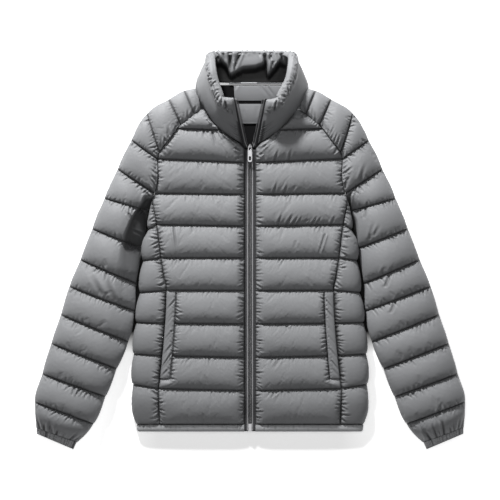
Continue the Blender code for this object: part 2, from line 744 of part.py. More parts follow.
def main():
    clear_scene()
    shell = new_material("Satin nylon shell", (0.13, 0.13, 0.135), 0.42)
    lining = new_material("Plain nylon lining", (0.045, 0.045, 0.048), 0.55)
    binding = new_material("Woven binding", (0.09, 0.09, 0.095), 0.7)
    tape = new_material("Woven zip tape", (0.02, 0.02, 0.022), 0.8)
    coil = new_material("Nylon zip coil", (0.10, 0.10, 0.105), 0.4)
    metal = new_material("Polished zinc alloy", (0.55, 0.55, 0.56), 0.3, 1.0)
    for name, side in (("left", 1), ("right", -1)):
        front_panel(f"front_panel_{name}", side, shell)
        side_panel(f"side_panel_{name}", side, shell)
        sleeve(f"sleeve_{name}", side, shell)
        cuff(f"cuff_{name}", side, shell)
        pocket_welt(f"pocket_welt_{name}", side, shell)
        zip_half(f"zip_tape_{name}", side, TAPE_STRIP, HEM_BOTTOM, tape)
        zip_half(f"zip_coil_{name}", side, COIL_STRIP, COIL_BOTTOM, coil)
    back_panel("back_panel", shell)
    hem_band(shell)
    collar_piece("collar_outer", False, shell)
    collar_piece("collar_facing", True, lining)
    back_lining(lining)
    flat_strip("neck_tape", NECK_TAPE_LOW, NECK_TAPE_HIGH, binding)
    flat_strip("hanging_loop", LOOP_LOW, LOOP_HIGH, binding)
    zip_slider(metal)
    zip_pull_tab(metal)
    flat_strip("zip_box", ZIP_BOX_LOW, ZIP_BOX_HIGH, metal)


main()
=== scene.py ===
# %% [markdown]
# # A quilted puffer jacket, laid flat
# A puffer jacket is sewn from panels. Each panel is two layers of thin nylon with filling between them, and
# rows of stitches divide it into channels. This lesson rebuilds the cloth of such a jacket over a plain
# solid model: the fronts, side panels and sleeves are drawn from their sewing lines, blown up with a cloth
# simulation, and creased where thread gathers them. The back, collar, neck, hem, cuffs and welts are drawn
# from their sections instead, without a simulation. The first cell loads the solid model, whose pieces the
# new ones replace.

import math
import time

import bmesh
import bpy
import numpy as np
from mathutils import Matrix, Vector


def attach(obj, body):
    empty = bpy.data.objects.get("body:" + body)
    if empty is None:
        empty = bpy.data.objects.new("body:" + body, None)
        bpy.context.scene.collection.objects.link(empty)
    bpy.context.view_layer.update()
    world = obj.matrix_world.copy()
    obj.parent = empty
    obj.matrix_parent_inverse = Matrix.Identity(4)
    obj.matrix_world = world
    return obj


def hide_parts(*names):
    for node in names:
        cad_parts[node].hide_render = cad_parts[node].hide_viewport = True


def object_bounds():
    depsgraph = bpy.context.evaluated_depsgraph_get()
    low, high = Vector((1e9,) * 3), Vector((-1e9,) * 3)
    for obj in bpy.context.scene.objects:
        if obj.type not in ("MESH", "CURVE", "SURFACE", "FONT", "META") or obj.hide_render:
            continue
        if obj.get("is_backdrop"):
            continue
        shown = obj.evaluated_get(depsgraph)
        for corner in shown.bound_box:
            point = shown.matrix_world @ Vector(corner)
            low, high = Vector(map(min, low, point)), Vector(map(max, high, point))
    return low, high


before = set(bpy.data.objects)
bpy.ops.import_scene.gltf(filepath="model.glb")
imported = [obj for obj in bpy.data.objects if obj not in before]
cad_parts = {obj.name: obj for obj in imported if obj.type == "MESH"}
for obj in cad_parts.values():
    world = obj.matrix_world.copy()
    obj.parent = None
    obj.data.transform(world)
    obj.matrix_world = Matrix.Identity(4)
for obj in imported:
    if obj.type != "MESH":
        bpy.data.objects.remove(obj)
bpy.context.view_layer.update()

# %% [markdown]
# ## Camera, floor and light
# A garment for sale lies on a pale table and is seen from straight above. A long lens far away keeps its
# edges straight. The main light is a small soft box, low beyond the collar and a little to the left, so
# each channel is bright on the side that faces it and dark on the other. A large soft box overhead fills
# the shadows.

# %% Camera
MM = 0.001
FRAME_WIDE = 0.930  # metres of table across the picture
CAMERA_HIGH = 6.0
MIDDLE_HIGH = 0.02  # the height at which the picture is that wide
camera_data = bpy.data.cameras.new("camera")
camera_data.sensor_width = 36.0
camera_data.lens = 36.0 * (CAMERA_HIGH - MIDDLE_HIGH) / FRAME_WIDE
camera = bpy.data.objects.new("camera", camera_data)
camera.location = (0.0, 0.0018, CAMERA_HIGH)
bpy.context.scene.collection.objects.link(camera)
bpy.context.scene.camera = camera
print("lens", round(camera_data.lens, 1), "mm")


# %% [markdown]
# ## Materials
# Colours are written as sRGB hex values, as a paint program shows them, and one function turns them into
# the linear numbers that Blender works with. One more function adds a node with its settings and links.

# %% Colour and node helpers
def linear(hex_colour):
    """A colour such as 7a7a7c as linear red, green, blue and alpha."""
    values = [int(hex_colour[i : i + 2], 16) / 255 for i in (0, 2, 4)]
    return (*[v / 12.92 if v <= 0.04045 else ((v + 0.055) / 1.055) ** 2.4 for v in values], 1.0)


def add(material, kind, settings=None, **inputs):
    """Adds a node. Inputs are values, or sockets to link from."""
    tree = material.node_tree
    node = tree.nodes.new("ShaderNode" + kind)
    for name, value in (settings or {}).items():
        setattr(node, name, value)
    for name, value in inputs.items():
        socket = node.inputs[int(name[1:])] if name[0] == "_" else node.inputs[name.replace("_", " ")]
        if isinstance(value, bpy.types.NodeSocket):
            tree.links.new(value, socket)
        else:
            socket.default_value = value
    return node


def new_material(name, **shader_values):
    material = bpy.data.materials.new(name)
    material.use_nodes = True
    shader = material.node_tree.nodes["Principled BSDF"]
    for key, value in shader_values.items():
        shader.inputs[key.replace("_", " ")].default_value = value
    return material, shader


# %% [markdown]
# The shell is a thin nylon woven so tightly that no down gets through, calendered between hot rollers. That
# gives it a satin gloss and small crisp wrinkles, like paper. The threads are 0.1 mm apart, far too fine to
# show, so they are drawn 1.2 mm apart and very weak.

# %% Satin nylon
THREAD = 1.2 * MM  # the size of a drawn thread
CRINKLE = 9 * MM  # the size of a wrinkle


def woven(
    name, dark, light, roughness, crinkle, weave, sheen=0.0, thread=THREAD, shine=0.32, low=None, deep=None
):
    """Woven cloth with fine wrinkles, on the piece's own cut.

    Where the attribute of painted light and shade is 0 it has the colour low, and where the attribute of
    painted shade is 1 it has the colour deep, a painted shade.
    """
    material, shader = new_material(
        name, Roughness=roughness, Specular_IOR_Level=shine, Sheen_Weight=sheen, Sheen_Roughness=0.5
    )
    link = material.node_tree.links.new
    cut = add(material, "UVMap", {"uv_map": "cut"}).outputs["UV"]
    clouds = add(material, "TexNoise", Vector=cut, Scale=1 / (70 * MM), Detail=3.0, Roughness=0.6)
    tint = add(material, "MixRGB", Fac=clouds.outputs["Fac"], Color1=linear(dark), Color2=linear(light))
    colour = tint.outputs["Color"]
    if low:
        shown = add(material, "Attribute", {"attribute_name": "painted_light_and_shade"})
        tint = add(material, "MixRGB", Fac=shown.outputs["Fac"], Color1=linear(low), Color2=colour)
        colour = tint.outputs["Color"]
    if deep:
        drawn = add(material, "Attribute", {"attribute_name": "painted_shade"})
        tint = add(material, "MixRGB", Fac=drawn.outputs["Fac"], Color1=colour, Color2=linear(deep))
        colour = tint.outputs["Color"]
    link(colour, shader.inputs["Base Color"])
    patch = add(
        material, "MapRange", Value=clouds.outputs["Fac"], To_Min=roughness - 0.03, To_Max=roughness + 0.04
    )
    link(patch.outputs["Result"], shader.inputs["Roughness"])
    threads = []
    for axis in ("X", "Y"):
        wave = add(
            material, "TexWave", {"wave_type": "BANDS", "bands_direction": axis, "wave_profile": "SIN"},
            Vector=cut, Scale=1 / (thread * 20), Distortion=0.4,
        )
        threads.append(wave.outputs["Fac"])
    cloth = add(material, "Math", {"operation": "MAXIMUM"}, _0=threads[0], _1=threads[1])
    fine = add(material, "Bump", Height=cloth.outputs["Value"], Strength=1.0, Distance=weave * MM)
    stretched = add(material, "Mapping", Vector=cut, Scale=(1.0, 0.55, 1.0))
    folds = add(
        material, "TexNoise", {"noise_type": "RIDGED_MULTIFRACTAL"}, Vector=stretched.outputs["Vector"],
        Scale=1 / CRINKLE, Detail=2.0, Roughness=0.5,
    )
    bump = add(
        material, "Bump", Height=folds.outputs["Fac"], Strength=1.0, Distance=crinkle * MM,
        Normal=fine.outputs["Normal"],
    )
    link(bump.outputs["Normal"], shader.inputs["Normal"])
    return material


# deep is a painted shade that darkens the seams, folds and hollows of the shell, hem band and cuffs. On the
# facing, low is a painted shade deep in the neck. On the zip tape, low is the tape's own colour, and its
# light colour is a painted highlight along the cord.
shell = woven("Satin nylon taffeta, calendered", "757678", "818284", 0.60, 0.16, 0.02, 0.05, deep="0c0c0d")
facing = woven("Satin nylon taffeta, collar facing", "737476", "808183", 0.48, 0.2, 0.02, 0.05, low="0e0e0f")
yoke_cloth = woven("Plain nylon taffeta, neck facing", "6a6b6d", "747577", 0.5, 0.1, 0.03)
lining = woven("Black nylon lining", "0a0a0b", "101011", 0.75, 0.1, 0.03, shine=0.08)
binding = woven("Woven polyester binding", "8d8e90", "9a9b9d", 0.6, 0.05, 0.12, thread=0.9 * MM)
neck_cloth = woven("Herringbone cotton neck tape", "606163", "6c6d6f", 0.7, 0.05, 0.12, thread=0.9 * MM)
# The hem band and cuffs are the shell's cloth painted lighter than the shell, a painted light on the band.
band_cloth_painted_lighter = woven("Nylon taffeta over elastic", "9c9d9f", "a8a9ab", 0.5, 0.12, 0.03, deep="0c0c0d")
tape_cloth = woven(
    "Woven polyester zip tape", "98989a", "a6a6a8", 0.75, 0.03, 0.15, thread=0.8 * MM, low="38383a"
)
print("cloth materials:", len(bpy.data.materials))


# %% [markdown]
# The zip's coils are nylon thread wound on a core, so they are dull plastic. The slider and its tab are
# die-cast zinc, plated and tumbled smooth. Sewing thread is spun polyester.

# %% Nylon coil, plated zinc and thread
def speckled(name, dark, light, size, depth, **shader_values):
    """A hard material with a faint grain on object coordinates."""
    material, shader = new_material(name, **shader_values)
    link = material.node_tree.links.new
    place = add(material, "TexCoord").outputs["Object"]
    grain = add(material, "TexNoise", Vector=place, Scale=1 / (size * MM), Detail=2.0)
    tint = add(material, "MixRGB", Fac=grain.outputs["Fac"], Color1=linear(dark), Color2=linear(light))
    link(tint.outputs["Color"], shader.inputs["Base Color"])
    bump = add(material, "Bump", Height=grain.outputs["Fac"], Strength=1.0, Distance=depth * MM)
    link(bump.outputs["Normal"], shader.inputs["Normal"])
    return material


coil_plastic = speckled("Nylon monofilament coil", "505052", "5e5e60", 1.5, 0.01, Roughness=0.42)
zinc = speckled("Plated zinc alloy, tumbled", "9b9b9d", "b4b4b6", 2.5, 0.02, Metallic=1.0, Roughness=0.3)
black_zinc = speckled("Zinc alloy, black plated", "232325", "2e2e30", 2.5, 0.02, Metallic=0.6, Roughness=0.4)
thread_yarn = speckled("Spun polyester thread", "2f2f31", "3c3c3e", 0.6, 0.05, Roughness=0.7)
print("all materials:", len(bpy.data.materials))


# %% [markdown]
# ## Reading the pattern
# Sewing lines are drawn in millimetres, as tables. Between the rows of a table a smooth curve is read, so
# an edge has no corners. The curve is a cubic that never overshoots its points.

# %% Tables and curves
def columns(names, *rows):
    return dict(zip(names.split(), np.array(rows, float).T))


def smooth(share):
    share = np.clip(share, 0, 1)
    return share * share * (3 - 2 * share)


def running(steps):
    """The length reached before the first step and after each one."""
    return np.concatenate([[0], np.cumsum(steps)])


def curve(x, y, at):
    """A smooth curve through points, read at many places."""
    x, y, at = np.asarray(x, float), np.asarray(y, float), np.asarray(at, float)
    step = np.diff(x)
    slope = np.diff(y) / step
    tangent = np.empty_like(y)
    tangent[0], tangent[-1] = slope[0], slope[-1]
    before, after = 2 * step[1:] + step[:-1], step[1:] + 2 * step[:-1]
    with np.errstate(divide="ignore", invalid="ignore"):
        mean = (before + after) / (before / slope[:-1] + after / slope[1:])
    tangent[1:-1] = np.where(slope[:-1] * slope[1:] > 0, mean, 0)
    i = np.clip(np.searchsorted(x, at) - 1, 0, len(step) - 1)
    t = np.clip((at - x[i]) / step[i], 0, 1)
    near = (1 + 2 * t) * (1 - t) ** 2 * y[i] + t * (1 - t) ** 2 * step[i] * tangent[i]
    far = t * t * (3 - 2 * t) * y[i + 1] + t * t * (t - 1) * step[i] * tangent[i + 1]
    return near + far


def read(table, name, by, at):
    order = np.argsort(table[by])
    return curve(table[by][order], table[name][order], at)


def at_line(table, name, line):
    return np.interp(line, np.arange(len(table[name])), table[name])


def seam_path(table, y, aside):
    """Points along an edge's table, moved aside along X."""
    return np.stack([read(table, "x", "y", y) + aside, y], -1)


FRONT_LINES = columns(
    "seam_y zip_y",
    (-322.5, -322.5), (-256, -260), (-195, -198), (-134.5, -136), (-73.1, -73.8), (-13, -13), (49, 46),
    (107, 105), (171, 164), (227, 224), (262, 262),
)
FRONT_INNER = columns(
    "y x",
    (-330, 10.6), (188, 10.6), (197, 17.5), (212, 37), (228.8, 58.5), (247.4, 75.5), (262, 85),
)
FRONT_OUTER = columns(
    "y x",
    (-323, 167.6), (-258, 170), (-236, 167), (-69, 155.1), (-48, 159.6), (2, 167), (48, 173), (94.2, 181),
    (107, 177), (137.6, 172.1), (171, 171.5), (183.3, 168), (208.3, 150.7), (234.7, 128), (254.3, 103),
    (262, 92),
)
BODY_EDGE = columns(
    "y x", (-323, 211), (-294, 217), (-250, 217.5), (-195, 216), (-137.6, 211), (-81, 205), (-20.5, 199),
    (22, 195.5), (40, 190.5), (94.2, 182),
)
SLEEVE_LINES = columns(
    "fold_x fold_y front_x front_y back_x back_y",
    (103.5, 302, 92, 262, 92, 308.5), (122, 297.6, 103, 254.3, 101, 295),
    (150.7, 281.6, 128, 234.7, 122, 262), (190.7, 255.8, 168, 183.3, 150, 215),
    (220.4, 205.9, 171.5, 171, 163, 180), (246.1, 152.5, 177, 107, 172, 125),
    (270.8, 97.7, 190, 75, 190, 75), (293.5, 41.3, 202, 5, 202, 5), (315.3, -16, 213, -60.5, 213, -60.5),
    (335.9, -65.8, 215.5, -112, 215.5, -112), (351.7, -118.3, 227.5, -168.7, 227.5, -168.7),
    (369.6, -171.7, 248.5, -219.1, 248.5, -219.1), (386.3, -228, 269.3, -271, 269.3, -271),
    (400.3, -279.9, 291.5, -321.4, 291.5, -321.4), (398.2, -328.8, 322.7, -356.9, 322.7, -356.9),
)
UNDERARM = (181.0, 94.2)
FRONT_REST, SEAM_WALL = 18.9, 6.0  # the fronts' underside, and a quilted wall where it is sewn
HEM_SINK = 9.5  # how far the fronts lie lower at the hem
HEM_THIN = 0.42  # the share by which side panels and back are thinner at the hem
BAND_WIDE = 13.5  # the width of the hem band and of a cuff
CHANNEL_HIGH = 60.0  # the usual distance from one quilt line to the next


def neck_lift(y):
    return 8.0 * smooth((y - 110) / 130)


def hem_share(y):
    return 0.4 * smooth((-90 - y) / 190) + 0.6 * smooth((-262 - y) / 58)


def front_rest(y):
    """The height of the fronts' underside."""
    return FRONT_REST + neck_lift(y) - HEM_SINK * hem_share(y)


print("front channels:", len(FRONT_LINES["zip_y"]) - 1, "sleeve channels:", len(SLEEVE_LINES["fold_x"]) - 1)

# %% [markdown]
# ## Quilted walls
# A panel starts as a grid of points. Its rows follow the quilt lines, so a whole row can be held still
# where it is stitched. The cloth solver then blows the rest up like a balloon, with a little more cloth
# than the flat panel needs. The result is read back, no point is let go further than a cap, and the grid is
# made twice as fine. The gathers along the stitches are added afterwards.


# %% Grids and closed walls
def grid_mesh(rows, cols):
    """A bmesh grid whose points hold their column and row as x and y."""
    mesh = bmesh.new()
    bmesh.ops.create_grid(mesh, x_segments=cols - 1, y_segments=rows - 1, size=0.5)
    bmesh.ops.translate(mesh, vec=(0.5, 0.5, 0), verts=mesh.verts)
    bmesh.ops.scale(mesh, vec=(cols - 1, rows - 1, 1), verts=mesh.verts)
    return mesh


def coordinates(data):
    points = np.empty(len(data.vertices) * 3, np.float32)
    data.vertices.foreach_get("co", points)
    return points.reshape(-1, 3)


def set_coordinates(data, points):
    data.vertices.foreach_set("co", np.asarray(points, np.float32).ravel())
    data.update()


def set_attribute(data, name, values):
    """Stores one number for each point, for a material to read."""
    data.attributes.new(name, "FLOAT", "POINT").data.foreach_set("value", values.astype(np.float32))


def set_cut(data, cut):
    """Stores each point's place in the flat cut as a UV map."""
    corner = np.empty(len(data.loops), np.int32)
    data.loops.foreach_get("vertex_index", corner)
    data.uv_layers.new(name="cut").data.foreach_set("uv", cut[corner].astype(np.float32).ravel())


def lift_new(mesh, raised, rise):
    """Lifts the vertices among newly made parts."""
    fresh = [item for item in raised if isinstance(item, bmesh.types.BMVert)]
    bmesh.ops.translate(mesh, vec=(0, 0, rise), verts=fresh)


def mesh_data(name, mesh):
    """Writes a bmesh to a new mesh and frees it."""
    data = bpy.data.meshes.new(name)
    mesh.to_mesh(data)
    mesh.free()
    return data


def new_object(name, data):
    piece = bpy.data.objects.new(name, data)
    bpy.context.scene.collection.objects.link(piece)
    return piece


def normals_of(points):
    """Unit normals of a grid of points, rows along the panel and columns across it."""
    down, across = np.gradient(points, axis=0), np.gradient(points, axis=1)
    normal = np.cross(across, down)
    return normal / np.maximum(np.linalg.norm(normal, axis=-1, keepdims=True), 1e-9)


def lengths_along(points, axis):
    """Distance from the grid's first row or column, along the other."""
    steps = np.linalg.norm(np.diff(points, axis=axis), axis=-1)
    start = np.zeros_like(points[..., 0].take([0], axis))
    return np.concatenate([start, np.cumsum(steps, axis=axis)], axis=axis)


def doubled(points):
    """The grid with a row between each two rows and a column between each two columns, on smooth curves."""
    if points.ndim == 2:  # one number at each point
        return doubled(points[..., None])[..., 0]
    for axis in (0, 1):
        p = np.moveaxis(points, axis, 0)
        padded = np.concatenate([[2 * p[0] - p[1]], p, [2 * p[-1] - p[-2]]])
        between = (9 * (padded[1:-2] + padded[2:-1]) - padded[:-3] - padded[3:]) / 16
        out = np.empty((2 * len(p) - 1, *p.shape[1:]))
        out[::2], out[1::2] = p, between
        points = np.moveaxis(out, 0, axis)
    return points


def closed_wall(name, outer, inner, material, side=1, keep_inner=0.1, drawn=None):
    """A closed solid between two grids of points in millimetres, with the flat cut as its UV map.

    keep_inner is the share of its faces that the hidden inner side keeps. drawn is painted shade: how dark
    each point is painted, from 0 to 1, in a seam's furrow, in a deep fold and where little light gets in.
    """
    rows, cols = outer.shape[:2]
    mesh = grid_mesh(rows, cols)
    raised = bmesh.ops.extrude_face_region(mesh, geom=mesh.faces[:])["geom"]
    lift_new(mesh, raised, 1)
    data = mesh_data(name, mesh)
    column, row, is_outer = np.rint(coordinates(data)).astype(int).T
    points = np.where(is_outer[:, None] == 1, outer[row, column], inner[row, column])
    set_coordinates(data, points * (side * MM, MM, MM))
    set_cut(data, np.stack([lengths_along(outer, 1), lengths_along(outer, 0)], -1)[row, column] * MM)
    if drawn is not None:
        # the painted shade, stored on the mesh for the material
        set_attribute(data, "painted_shade", np.clip(drawn, 0, 1)[row, column])
    piece = new_object(name, data)
    hidden = (is_outer == 0) & (row > 0) & (row < rows - 1) & (column > 0) & (column < cols - 1)
    piece.vertex_groups.new(name="hidden").add(np.flatnonzero(hidden).tolist(), 1.0, "REPLACE")
    weld(data)
    if keep_inner < 1:
        thin = piece.modifiers.new("thin the hidden side", "DECIMATE")
        thin.vertex_group = "hidden"
        thin.ratio = (1 + keep_inner) / 2
        bake_modifiers(piece)
    piece.data.shade_smooth()
    piece.data.materials.append(material)
    return piece


def weld(data):
    """Joins points that meet and turns all faces outward."""
    mesh = bmesh.new()
    mesh.from_mesh(data)
    bmesh.ops.remove_doubles(mesh, verts=mesh.verts, dist=0.02 * MM)
    bmesh.ops.recalc_face_normals(mesh, faces=mesh.faces)
    mesh.to_mesh(data)
    mesh.free()


def bake_modifiers(piece):
    """Replaces a piece's mesh by what its modifiers make of it."""
    bpy.context.view_layer.update()
    graph = bpy.context.evaluated_depsgraph_get()
    shaped = piece.evaluated_get(graph)
    made = bpy.data.meshes.new_from_object(shaped, preserve_all_data_layers=True, depsgraph=graph)
    old = piece.data
    piece.modifiers.clear()
    piece.data = made
    made.name = old.name
    bpy.data.meshes.remove(old)


# %% Blowing up a panel
FRAMES = 18
PRESSURE = 4.0
SPARE_CLOTH = 0.004  # how much more cloth than the flat panel, as a share
sim_seconds = 0.0


def inflate(start, held, cap=9.0):
    """Lets the cloth solver blow up a grid of points. Held points stay. Millimetres in and out."""
    global sim_seconds
    began = time.time()
    rows, cols = start.shape[:2]
    data = mesh_data("balloon", grid_mesh(rows, cols))
    place = np.rint(coordinates(data)).astype(int)
    set_coordinates(data, start[place[:, 1], place[:, 0]] * MM)
    balloon = new_object("balloon", data)
    pins = balloon.vertex_groups.new(name="held")
    pins.add([int(i) for i in np.flatnonzero(held[place[:, 1], place[:, 0]])], 1.0, "REPLACE")
    cloth = balloon.modifiers.new("cloth", "CLOTH")
    cloth.settings.quality = 5
    cloth.settings.mass = 0.3
    cloth.settings.tension_stiffness = cloth.settings.compression_stiffness = 15
    cloth.settings.shear_stiffness = 5
    cloth.settings.bending_stiffness = 0.5
    cloth.settings.use_pressure = True
    cloth.settings.uniform_pressure_force = PRESSURE
    cloth.settings.vertex_group_mass = "held"
    cloth.settings.shrink_min = -SPARE_CLOTH
    cloth.settings.effector_weights.gravity = 0
    cloth.collision_settings.use_collision = False
    cloth.point_cache.frame_end = FRAMES + 5
    scene = bpy.context.scene
    for number in range(1, FRAMES + 1):
        scene.frame_set(number)
    blown = balloon.evaluated_get(bpy.context.evaluated_depsgraph_get())
    result = np.empty_like(start)
    result[place[:, 1], place[:, 0]] = coordinates(blown.data) / MM
    bpy.data.objects.remove(balloon)
    scene.frame_set(1)
    moved = result - start
    far = np.linalg.norm(moved, axis=-1, keepdims=True)
    sim_seconds += time.time() - began
    print("  blown up", rows, "x", cols, "points; furthest", round(float(far.max()), 1), "mm")
    return start + moved * np.minimum(1, cap / np.maximum(far, 1e-9))


# %% [markdown]
# ## Creases
# Thread gathers the cloth along every seam into short folds, a few millimetres apart. Each fold is a small
# trough with a ridge beside it that fades away from the seam. A row of such folds is drawn with a random
# but repeatable length and slant, and the larger folds of each panel are placed one by one.


# %% Single creases and rows of them
CREASE_LIMIT = 2.3  # rows of small creases never pile up past this height


def crease_heights(a, b, strokes):
    """Height that strokes add at the places a, b. A stroke is x, y, to x, to y, width and depth."""
    height = np.zeros_like(a)
    for x, y, to_x, to_y, width, depth in strokes:
        along = np.array([to_x - x, to_y - y])
        length = np.hypot(*along)
        along = along / length
        reach = length + 3 * width
        near = (np.abs(a - x) < reach) & (np.abs(b - y) < reach)
        if not near.any():
            continue
        da, db = a[near] - x, b[near] - y
        run = (da * along[0] + db * along[1]) / length
        off = (da * -along[1] + db * along[0]) / width
        fade = smooth(run / 0.12 + 0.6) * smooth((1 - run) / 0.75)
        trough = -np.exp(-(off**2)) + 0.75 * np.exp(-((off - 1.7) ** 2) * 1.2)
        trough = trough + 0.3 * np.exp(-((off + 1.7) ** 2))
        height[near] += depth * trough * fade
    return height


def gathered(a, b, placed, rows, calm=1.0):
    """The height of larger placed creases and of rows of small ones."""
    small = np.tanh(crease_heights(a, b, rows) / CREASE_LIMIT)
    return crease_heights(a, b, placed) + calm * CREASE_LIMIT * small


def from_line(line, spacing):
    """Distance from the nearest quilt line. spacing is the channel's height there."""
    return np.abs(line - np.rint(line)) * spacing


def off_lines(line, spacing, reach=2.6):
    """Nearly 0 on a quilt line, and 1 past the reach of its thread."""
    return 0.15 + 0.85 * smooth(from_line(line, spacing) / reach)


def gather(rng, points, spacing, length, width, depth, lean, patchy=0.0):
    """A row of creases along a seam. lean(i) turns each from the seam's normal, in radians.

    patchy makes them weaker in every other patch of the row.
    """
    points = np.asarray(points, float)
    reach = running(np.linalg.norm(np.diff(points, axis=0), axis=1))
    strokes = []
    phase = rng.uniform(0, 6)
    at = spacing * rng.uniform(0.2, 0.9)
    while at < reach[-1]:
        x, y = np.interp(at, reach, points[:, 0]), np.interp(at, reach, points[:, 1])
        next_x, next_y = (np.interp(at + 2, reach, points[:, k]) for k in (0, 1))
        last_x, last_y = (np.interp(at - 2, reach, points[:, k]) for k in (0, 1))
        turn = math.atan2(next_y - last_y, next_x - last_x) + math.pi / 2
        turn = turn + lean(x, y) + rng.normal(0, 0.22)
        long = length * rng.uniform(0.5, 1.5)
        size = rng.uniform(0.55, 1.35) * (1 - patchy * (0.5 + 0.5 * math.sin(at / 14 + phase)))
        to_x, to_y = x + long * math.cos(turn), y + long * math.sin(turn)
        strokes.append((x, y, to_x, to_y, width * size**0.5, depth * size))
        at += spacing * rng.uniform(0.55, 1.5)
    return strokes


print("crease helpers ready")


# %% [markdown]
# ## Front panels
# The front is cut in two panels that meet at the zip. Ten channels run across each. The panel is highest in
# the middle of a channel and is held down along its quilt lines, its zip edge and the side-front seam.
# Under the pocket's welt it stays flat.

# %% The front's surfaces
CHANNEL_ROWS = 23  # rows of the coarse grid in a channel
FRONT_COLUMNS_MADE = 60
WELT_SHARE = 0.885  # where the welt's inner edge lies, from the zip to the side-front seam
WELT_LINES = (1.3, 3.95)  # the quilt lines between which the pocket lies
SAG = 0.4  # sets how far the fullest part of a channel lies below its middle


def channel_puff(line):
    """0 on a quilt line and 1 in a channel, fullest below its middle, where the filling sinks."""
    share = line % 1
    off = np.abs(2 * share * (1 + SAG * (1 - share)) - 1)
    return np.clip(1 - off**2.2, 0, 1) ** (0.6 + 0.3 * share)


def edge_puff(distance, reach):
    """How full a channel is at a distance from its end."""
    return (1 - (1 - np.clip(distance / reach, 0, 1)) ** 2.4) ** 0.62


def front_plan(line, share):
    zip_y, seam_y = at_line(FRONT_LINES, "zip_y", line), at_line(FRONT_LINES, "seam_y", line)
    y = zip_y + (seam_y - zip_y) * share
    near, far = read(FRONT_INNER, "x", "y", y), read(FRONT_OUTER, "x", "y", y)
    return near + (far - near) * share, y, near, far


def under_welt(line, share):
    """1 under the pocket's welt, and 0 elsewhere."""
    low, high = WELT_LINES
    return (line >= low - 0.02) & (line <= high + 0.02) & (share >= WELT_SHARE - 0.02)


def front_surface(line, share):
    """The surface that the stitches lie in."""
    x, y, near, far = front_plan(line, share)
    inner = np.maximum(smooth((x - near) / 14), smooth((y - 186) / 12))
    rise = 4.2 * inner - 1.2 * (1 - smooth((far - x) / 18))
    rise = rise * (1 - 0.4 * hem_share(y))
    z = front_rest(y) + SEAM_WALL + rise
    return np.stack([x, y, z], -1)


def front_grid(line, share, rng):
    """The panel before it is blown up."""
    base = front_surface(line, share)
    x, y, near, far = front_plan(line, share)
    in_pocket = smooth((line - WELT_LINES[0] + 0.25) / 0.25) * smooth((WELT_LINES[1] + 0.2 - line) / 0.2)
    welt_x = near + (far - near) * WELT_SHARE
    pocket_side = far - x + (np.maximum(welt_x - x, 0) - (far - x)) * in_pocket
    ends = edge_puff(x - near, 32 - 20 * smooth((y - 186) / 14)) * edge_puff(pocket_side, 15)
    puff = channel_puff(line) * ends * (1 - 0.25 * hem_share(y))
    grown = base.copy()
    grown[..., 2] += 10.2 * puff + 0.05 * rng.normal(0, 1, line.shape)
    return grown


def line_numbers(first, last, rows_of):
    """Row positions of a grid: a whole row on each quilt line, and rows_of(line) rows in each channel."""
    parts = [np.arange(rows_of(k)) / rows_of(k) + k for k in range(first, last)]
    return np.concatenate([*parts, [last]])


def on_lines(line):
    return np.abs(line - np.rint(line)) < 1e-6


def near_seam(distance, width=1.5):
    """1 on a seam or stitched line, and 0 a few millimetres off it."""
    return np.exp(-((distance / width) ** 2))


def groove(line, spacing, depth=3.0, width=1.3):
    """The narrow furrow that the thread pulls along each quilt line."""
    return -depth * near_seam(from_line(line, spacing), width)


def at_pocket(line):
    return (line > WELT_LINES[0]) & (line < WELT_LINES[1])


# Larger creases of each front, as x, y, to x, to y, width and depth, by the side of the wearer.
FRONT_CREASES = {
    "right": (
        (70.5, 223.1, 61.9, 193, 2.2, 2.6), (60.8, 234.5, 41.5, 198, 2.4, 6.2),
        (49.4, 221.3, 14, 192.5, 2.6, 6.8), (77, 248, 60.5, 229, 2.2, 4.6), (28, 191, 13.5, 183.3, 2, 3.4),
        (27, 170.5, 14, 176.2, 2, 2), (86.9, 225, 82.2, 208, 2.2, 1.6), (98, 224, 94, 212, 2.2, 0.9),
        (137, 225.5, 134.5, 207, 2.2, 1.6), (141.8, 44, 134, -12.4, 2.2, 2.2),
        (134.7, -17.5, 142, -31, 2.2, 1.1), (112.9, -200, 123, -215, 2.2, 1),
        (121.3, -202.7, 130, -214, 2, 0.9), (120, 100, 116, 88, 2.2, 0.7), (95, 162, 91, 150, 2.4, 0.8),
        (84, 162, 79, 152, 2.2, 0.8), (60, 162, 55, 148, 2.4, 0.9), (47, 161, 41, 150, 2.2, 0.8),
    ),
    "left": (
        (60.5, 233, 38.5, 199, 2.2, 3.2), (48, 228, 15, 190, 2.4, 3.4), (78, 248, 63, 231, 2, 2),
        (23, 181, 13, 174.5, 2, 2.2), (30, 197, 14, 183, 2, 2.2), (71.5, 166, 77.3, 192, 2.2, 1.8),
        (45, 166, 54.6, 192, 2.2, 1.8), (43.5, 107, 52.3, 132, 2.2, 1.8), (62.5, 107, 72.2, 128, 2.2, 1.7),
        (84, 120, 77, 109, 2.2, 0.8), (51, 48, 62.4, 76, 2.2, 1.9), (67, 48, 82.6, 72, 2.2, 2.1),
        (77, 48, 92.7, 68, 2, 2), (86, 48, 99.3, 68, 2, 1.7), (107, 58, 95, 49, 2.2, 1.1),
        (114, 48, 126, 66, 2, 1.8), (122, 48, 134, 66, 2, 1.6), (149, 48, 159.7, 68, 2, 1.7),
        (139.3, 31, 125, -14, 2.2, 2.2), (86, 19, 79, 0, 2.6, 0.8), (56.4, -200, 42, -222, 2.6, 1.3),
        (43.2, -200, 37, -214, 2.2, 1), (38, -263, 26, -277, 2.2, 1), (48, -263, 38, -275, 2.2, 0.8),
    ),
}


def fan(lines_y, towards):
    """Leans a gather away from the middle of its channel, towards +1 or -1 along X."""

    def lean(x, y):
        at = np.interp(y, lines_y, np.arange(len(lines_y)))
        return towards * 1.1 * ((at % 1) - 0.5)

    return lean


